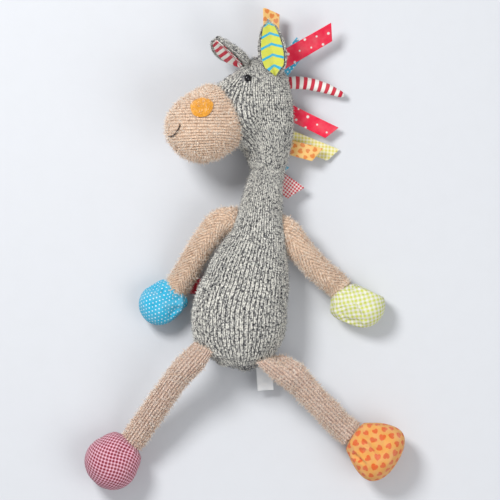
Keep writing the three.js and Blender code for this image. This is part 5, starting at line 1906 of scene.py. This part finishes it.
def groove(rings, normals, line, width, depth):
    """Folds a crease into the points near a line, with a soft lip each side."""
    start, end = (np.array(p) for p in line)
    span = end - start
    share = np.clip(((rings - start)[..., :2] @ span[:2]) / (span[:2] @ span[:2]), 0, 1)
    gap = np.linalg.norm((rings - start - share[..., None] * span)[..., :2], axis=-1)
    upper = normals[..., 2] > 0.05
    taper = np.sin(np.pi * np.clip(share, 0.06, 0.94))
    fold = -np.exp(-((gap / width) ** 2)) + 0.45 * np.exp(-(((gap - 2.2 * width) / (1.2 * width)) ** 2))
    return rings + normals * (depth * fold * taper * upper)[..., None]


def inflate(form, name, sewn, pressure, cap):
    """Lets the pouch settle as cloth under the push of its stuffing. Sewn points stay where they are."""
    obj = form.piece(name, finish_of(stuffing_fibre))
    scene = bpy.context.scene
    start = np.array([v.co for v in obj.data.vertices])
    held = obj.vertex_groups.new(name="sewn")
    held.add(np.flatnonzero(sewn(start)).tolist(), 1.0, "REPLACE")
    cloth = obj.modifiers.new("Cloth", "CLOTH")
    settings = cloth.settings
    settings.quality = 6
    settings.mass = 0.2
    settings.tension_stiffness = settings.compression_stiffness = 12
    settings.shear_stiffness = 5
    settings.bending_stiffness = 0.08
    settings.shrink_min = -0.05
    settings.use_pressure = True
    settings.uniform_pressure_force = pressure
    settings.vertex_group_mass = "sewn"
    settings.effector_weights.gravity = 0
    cloth.point_cache.frame_end = POUCH_FRAMES
    for number in range(1, POUCH_FRAMES + 1):
        scene.frame_set(number)
    shaped = obj.evaluated_get(bpy.context.evaluated_depsgraph_get()).data
    end = np.array([v.co for v in shaped.vertices])
    obj.modifiers.clear()
    scene.frame_set(1)
    bpy.data.objects.remove(obj)
    step = end - start
    size = np.linalg.norm(step, axis=1, keepdims=True)
    moved = start + step * np.minimum(1, cap / np.maximum(size, 1e-9))
    return Form(moved[1:-1].reshape(form.rings.shape), moved[0], moved[-1])


def gathered(form, seam, lead, girth, opening, rising):
    """The pouch drawn in where it goes into its sleeve, so that the sleeve laps over it."""
    side = np.cross(UP, lead)

    def draw_in(points):
        away = points - seam
        along = away @ lead
        rest = away - along[..., None] * lead
        past = np.maximum(along - 0.003, 0)
        wide, high = (rest * side).sum(-1), rest[..., 2]
        size = np.hypot(wide / (0.82 * girth + opening * past), high / (0.74 * girth + rising * past))
        rest = rest / np.maximum(1, size)[..., None]
        return seam + np.maximum(along, -0.007)[..., None] * lead + rest

    rings = eased(draw_in(form.rings), 2, ring=True)
    return Form(rings, draw_in(form.start), draw_in(form.end))


def pressed(form, place, heading, share):
    """A form whose side past an upright plane is pushed back by a share of what stands out."""
    way = compass(heading)

    def push(points):
        return points - np.maximum((points - place) @ way, 0)[..., None] * share * way

    return Form(push(form.rings), push(form.start), push(form.end))


def pouch(which, limb, joint, girth, finish, slot, seed, creases=(), whorl=0.0):
    """Cotton pouch of a hand or a foot, blown up by its stuffing and gathered where it meets its limb."""
    node = f"{which}_cover"
    centre, wrist, shift = middle_of(node), pivot(joint), POUCH_SHIFT[which]
    seam = wrist + unit((centre - wrist) * LEVEL) * SLEEVE_LAP[which]
    lead = unit((centre + shift - seam) * LEVEL)
    form = ball_form(hull_of(node), centre, UP, RIGHTWARD, PILLOW_ROWS, PILLOW_COLS, 0.0, seed)
    form = moved(form, shift, POUCH_STRETCH[which])
    if which in POUCH_PRESS:
        form = pressed(form, *POUCH_PRESS[which])
    form = gathered(form, seam, lead, girth, *POUCH_OPENS.get(which, EVEN_OPENING))
    def sewn(points):
        near = np.linalg.norm(points - seam, axis=1) < 1.3 * girth
        return near | (points[:, 2] < POUCH_RESTS_BELOW)

    form = inflate(form.grown(-POUCH_SHRINK), f"{which}_flat", sewn, POUCH_PRESSURE, POUCH_GIVE)
    laid = pillow_laid(form, whorl)
    rings = form.rings
    for line, width, depth in creases:
        rings = groove(rings, form.normals, line, width, depth)
    away = rings - seam
    pinch = np.exp(-(((away @ lead) - GATHER_PLACE) / GATHER_SPREAD) ** 2)
    spokes = np.arctan2(away[..., 2], away @ np.cross(UP, lead))
    folds = GATHER_DEPTH * np.sin(GATHERS * spokes) * pinch
    form = on_floor(Form(rings, form.start, form.end).grown(folds))
    obj = form.piece(f"{which}_cotton", finish, laid)
    smooth = obj.modifiers.new("Smooth", "SUBSURF")
    smooth.levels = smooth.render_levels = 1
    settled(obj)
    carrier = bending(limb, which, seam, lead, POUCH_FOLD)
    carrier.take(obj, slot, [node], fill=0.85)
    stuff(form, f"{which}_stuffing", carrier, f"{which}_filling", seed)


class PLUSH_OT_hands(bpy.types.Operator):
    """Sew and stuff the dotted hand and the checked hand"""

    bl_idname = "plush.hands"
    bl_label = "Hands"

    def execute(self, context):
        cloth = context.scene.plush_cloth
        dots = finish_of(dotted, "hand", cloth.dot_repeat, 0.18, cloth.sky, cloth.frost, 20)
        check = finish_of(gingham, "hand", cloth.hand_check, 13, cloth.leaf, cloth.white)
        pouch("left_hand", "left_arm", "left_wrist_flop", 0.0112, dots, "blue_dots", seed=61)
        pouch("right_hand", "right_arm", "right_wrist_flop", 0.0115, check, "yellow_gingham", seed=62,
              creases=RIGHT_HAND_CREASES)
        return {"FINISHED"}


class PLUSH_OT_feet(bpy.types.Operator):
    """Sew and stuff the checked foot and the heart-print foot"""

    bl_idname = "plush.feet"
    bl_label = "Feet"

    def execute(self, context):
        cloth = context.scene.plush_cloth
        check = finish_of(gingham, "foot", cloth.foot_check, -10, cloth.berry, cloth.blush, 0.58)
        heart = finish_of(hearts, "foot", cloth.heart_repeat, cloth.apricot, cloth.ember)
        pouch("left_foot", "left_leg", "left_ankle_flop", 0.0125, check, "red_gingham", seed=71,
              creases=LEFT_FOOT_CREASES, whorl=9.0)
        pouch("right_foot", "right_leg", "right_ankle_flop", 0.0132, heart, "orange_hearts", seed=72,
              creases=RIGHT_FOOT_CREASES)
        return {"FINISHED"}


# Care label


class PLUSH_OT_label(bpy.types.Operator):
    """Fold the bare care label and sew it into the seat seam"""

    bl_idname = "plush.label"
    bl_label = "Care label"

    def execute(self, context):
        points = points_of("care_label")
        centre = points.mean(0)
        lead, _, face = np.linalg.svd(points - centre, full_matrices=False)[2]
        lead = lead * -math.copysign(1, lead[1])
        face = face * math.copysign(1, face[2])
        across = np.cross(face, lead)
        reach = (points - centre) @ lead
        width = np.ptp((points - centre) @ across)
        fold = np.ptp((points - centre) @ face) * 0.42
        root, tip = centre + lead * (reach.min() - LABEL_TUCK), reach.max() - reach.min() + LABEL_TUCK

        def panel(shares, sign):
            return [(share * tip, sign * fold * (1 - LABEL_PINCH * (1 - share))) for share in shares]

        turned = np.radians(np.linspace(15, 165, 9))
        bight = tip * LABEL_TURN_STARTS + (1 - LABEL_TURN_STARTS) * tip * np.sin(turned)
        line = np.array([
            *panel(np.linspace(0, LABEL_TURN_STARTS, 16), 1),
            *zip(bight, fold * np.cos(turned)),
            *panel(np.linspace(LABEL_TURN_STARTS, 0, 16), -1),
        ])
        tangent = units(np.gradient(line, axis=0))
        normal = np.stack([-tangent[:, 1], tangent[:, 0]], -1)
        turn = round_about(LABEL_COLS)
        side, bulge = squarish(np.cos(turn), 0.4), squarish(np.sin(turn), 0.5)
        out = LABEL_THICKNESS * bulge
        rings, laid, run = [], [], run_of(line)
        for (ahead, rise), (n_ahead, n_rise), place in zip(line, normal, run):
            sway = (LABEL_SWAY * math.sin(ahead * 160) + LABEL_CUP * side**2) * ahead / tip
            rings.append(root + np.outer(ahead + n_ahead * out, lead) + np.outer(side * width / 2, across)
                         + np.outer(rise + n_rise * out + sway, face))
            laid.append(np.stack([np.append(side, side[0]) * width / 2, np.full(LABEL_COLS + 1, place)], -1))
        rings = np.array(rings)
        laid = np.array([laid[0], *laid, laid[-1]])
        ends = rings[0].mean(0), rings[-1].mean(0)
        piece = closed_piece("care_label_satin", rings, *ends, finish_of(satin), laid)
        Carrier("torso").take(piece, "white_satin", ["care_label"])
        return {"FINISHED"}


# Stage


class PLUSH_OT_stage(bpy.types.Operator):
    """Set the camera straight above, the soft lamps and the pale floor"""

    bl_idname = "plush.stage"
    bl_label = "Stage"

    def execute(self, context):
        scene, stage = context.scene, context.scene.plush_stage
        scene.view_settings.view_transform = "Standard"
        self.camera(scene, stage)
        self.lamp("key_lamp", KEY_PLACE, KEY_SIZE, stage.key_power)
        self.lamp("fill_lamp", FILL_PLACE, FILL_SIZE, stage.fill_power)
        self.room(scene, stage)
        mesh = bpy.data.meshes.new("floor")
        sides = [(-1, -1), (1, -1), (1, 1), (-1, 1)]
        corners = [(x * FLOOR_HALF, y * FLOOR_HALF, -FLOOR_DROP) for x, y in sides]
        mesh.from_pydata(corners, [], [(0, 1, 2, 3)])
        mesh.materials.append(finish_of(studio_floor, stage.floor))
        linked(bpy.data.objects.new("floor", mesh))
        return {"FINISHED"}

    @staticmethod
    def camera(scene, stage):
        data = bpy.data.cameras.new("camera")
        data.lens = stage.lens
        distance = stage.picture_width * stage.lens / data.sensor_width
        camera = linked(bpy.data.objects.new("camera", data))
        camera.location = Vector(stage.middle) + Vector((0, 0, distance))
        data.clip_end = SEES_TO
        scene.camera = camera

    @staticmethod
    def lamp(name, place, size, power):
        data = bpy.data.lights.new(name, "AREA")
        data.shape = "DISK"
        data.size = size
        data.energy = power
        lamp = linked(bpy.data.objects.new(name, data))
        lamp.location = place
        aim = Vector(LAMP_AIM) - lamp.location
        lamp.rotation_euler = aim.to_track_quat("-Z", "Y").to_euler()

    @staticmethod
    def room(scene, stage):
        scene.world = bpy.data.worlds.new("room")
        scene.world.use_nodes = True
        light = scene.world.node_tree.nodes["Background"]
        light.inputs["Color"].default_value = ROOM_COLOUR
        light.inputs["Strength"].default_value = stage.sky_strength


class PLUSH_PT_panel(bpy.types.Panel):
    """The toy's sizes, colours and makers"""

    bl_idname = "PLUSH_PT_panel"
    bl_label = "Plush animal"
    bl_space_type = "VIEW_3D"
    bl_region_type = "UI"
    bl_category = "Plush"

    def draw(self, context):
        for maker in MAKERS:
            self.layout.operator(maker.bl_idname)
        for group in (context.scene.plush_knit, context.scene.plush_cloth, context.scene.plush_stage):
            box = self.layout.box()
            for name in group.__annotations__:
                box.prop(group, name)


MAKERS = (
    PLUSH_OT_stage,
    PLUSH_OT_body,
    PLUSH_OT_head,
    PLUSH_OT_muzzle,
    PLUSH_OT_face,
    PLUSH_OT_ears,
    PLUSH_OT_tabs,
    PLUSH_OT_strand,
    PLUSH_OT_arms,
    PLUSH_OT_legs,
    PLUSH_OT_hands,
    PLUSH_OT_feet,
    PLUSH_OT_label,
)
GROUPS = {"plush_knit": PlushKnit, "plush_cloth": PlushCloth, "plush_stage": PlushStage}


def register():
    for group in (*GROUPS.values(), *MAKERS, PLUSH_PT_panel):
        bpy.utils.register_class(group)
    for name, group in GROUPS.items():
        setattr(bpy.types.Scene, name, bpy.props.PointerProperty(type=group))


def unregister():
    for name in GROUPS:
        delattr(bpy.types.Scene, name)
    for group in (PLUSH_PT_panel, *reversed(MAKERS), *reversed(tuple(GROUPS.values()))):
        bpy.utils.unregister_class(group)


def main():
    register()
    patterns = [loop_pattern(), hair_pattern()]
    trees = [loops_tree(), fuzz_tree()]
    for maker in MAKERS:
        section_name, operator = maker.bl_idname.split(".")
        getattr(getattr(bpy.ops, section_name), operator)()
    for pattern in patterns:
        bpy.data.objects.remove(pattern)
    for tree in trees:
        bpy.data.node_groups.remove(tree)


if __name__ == "__main__":
    main()
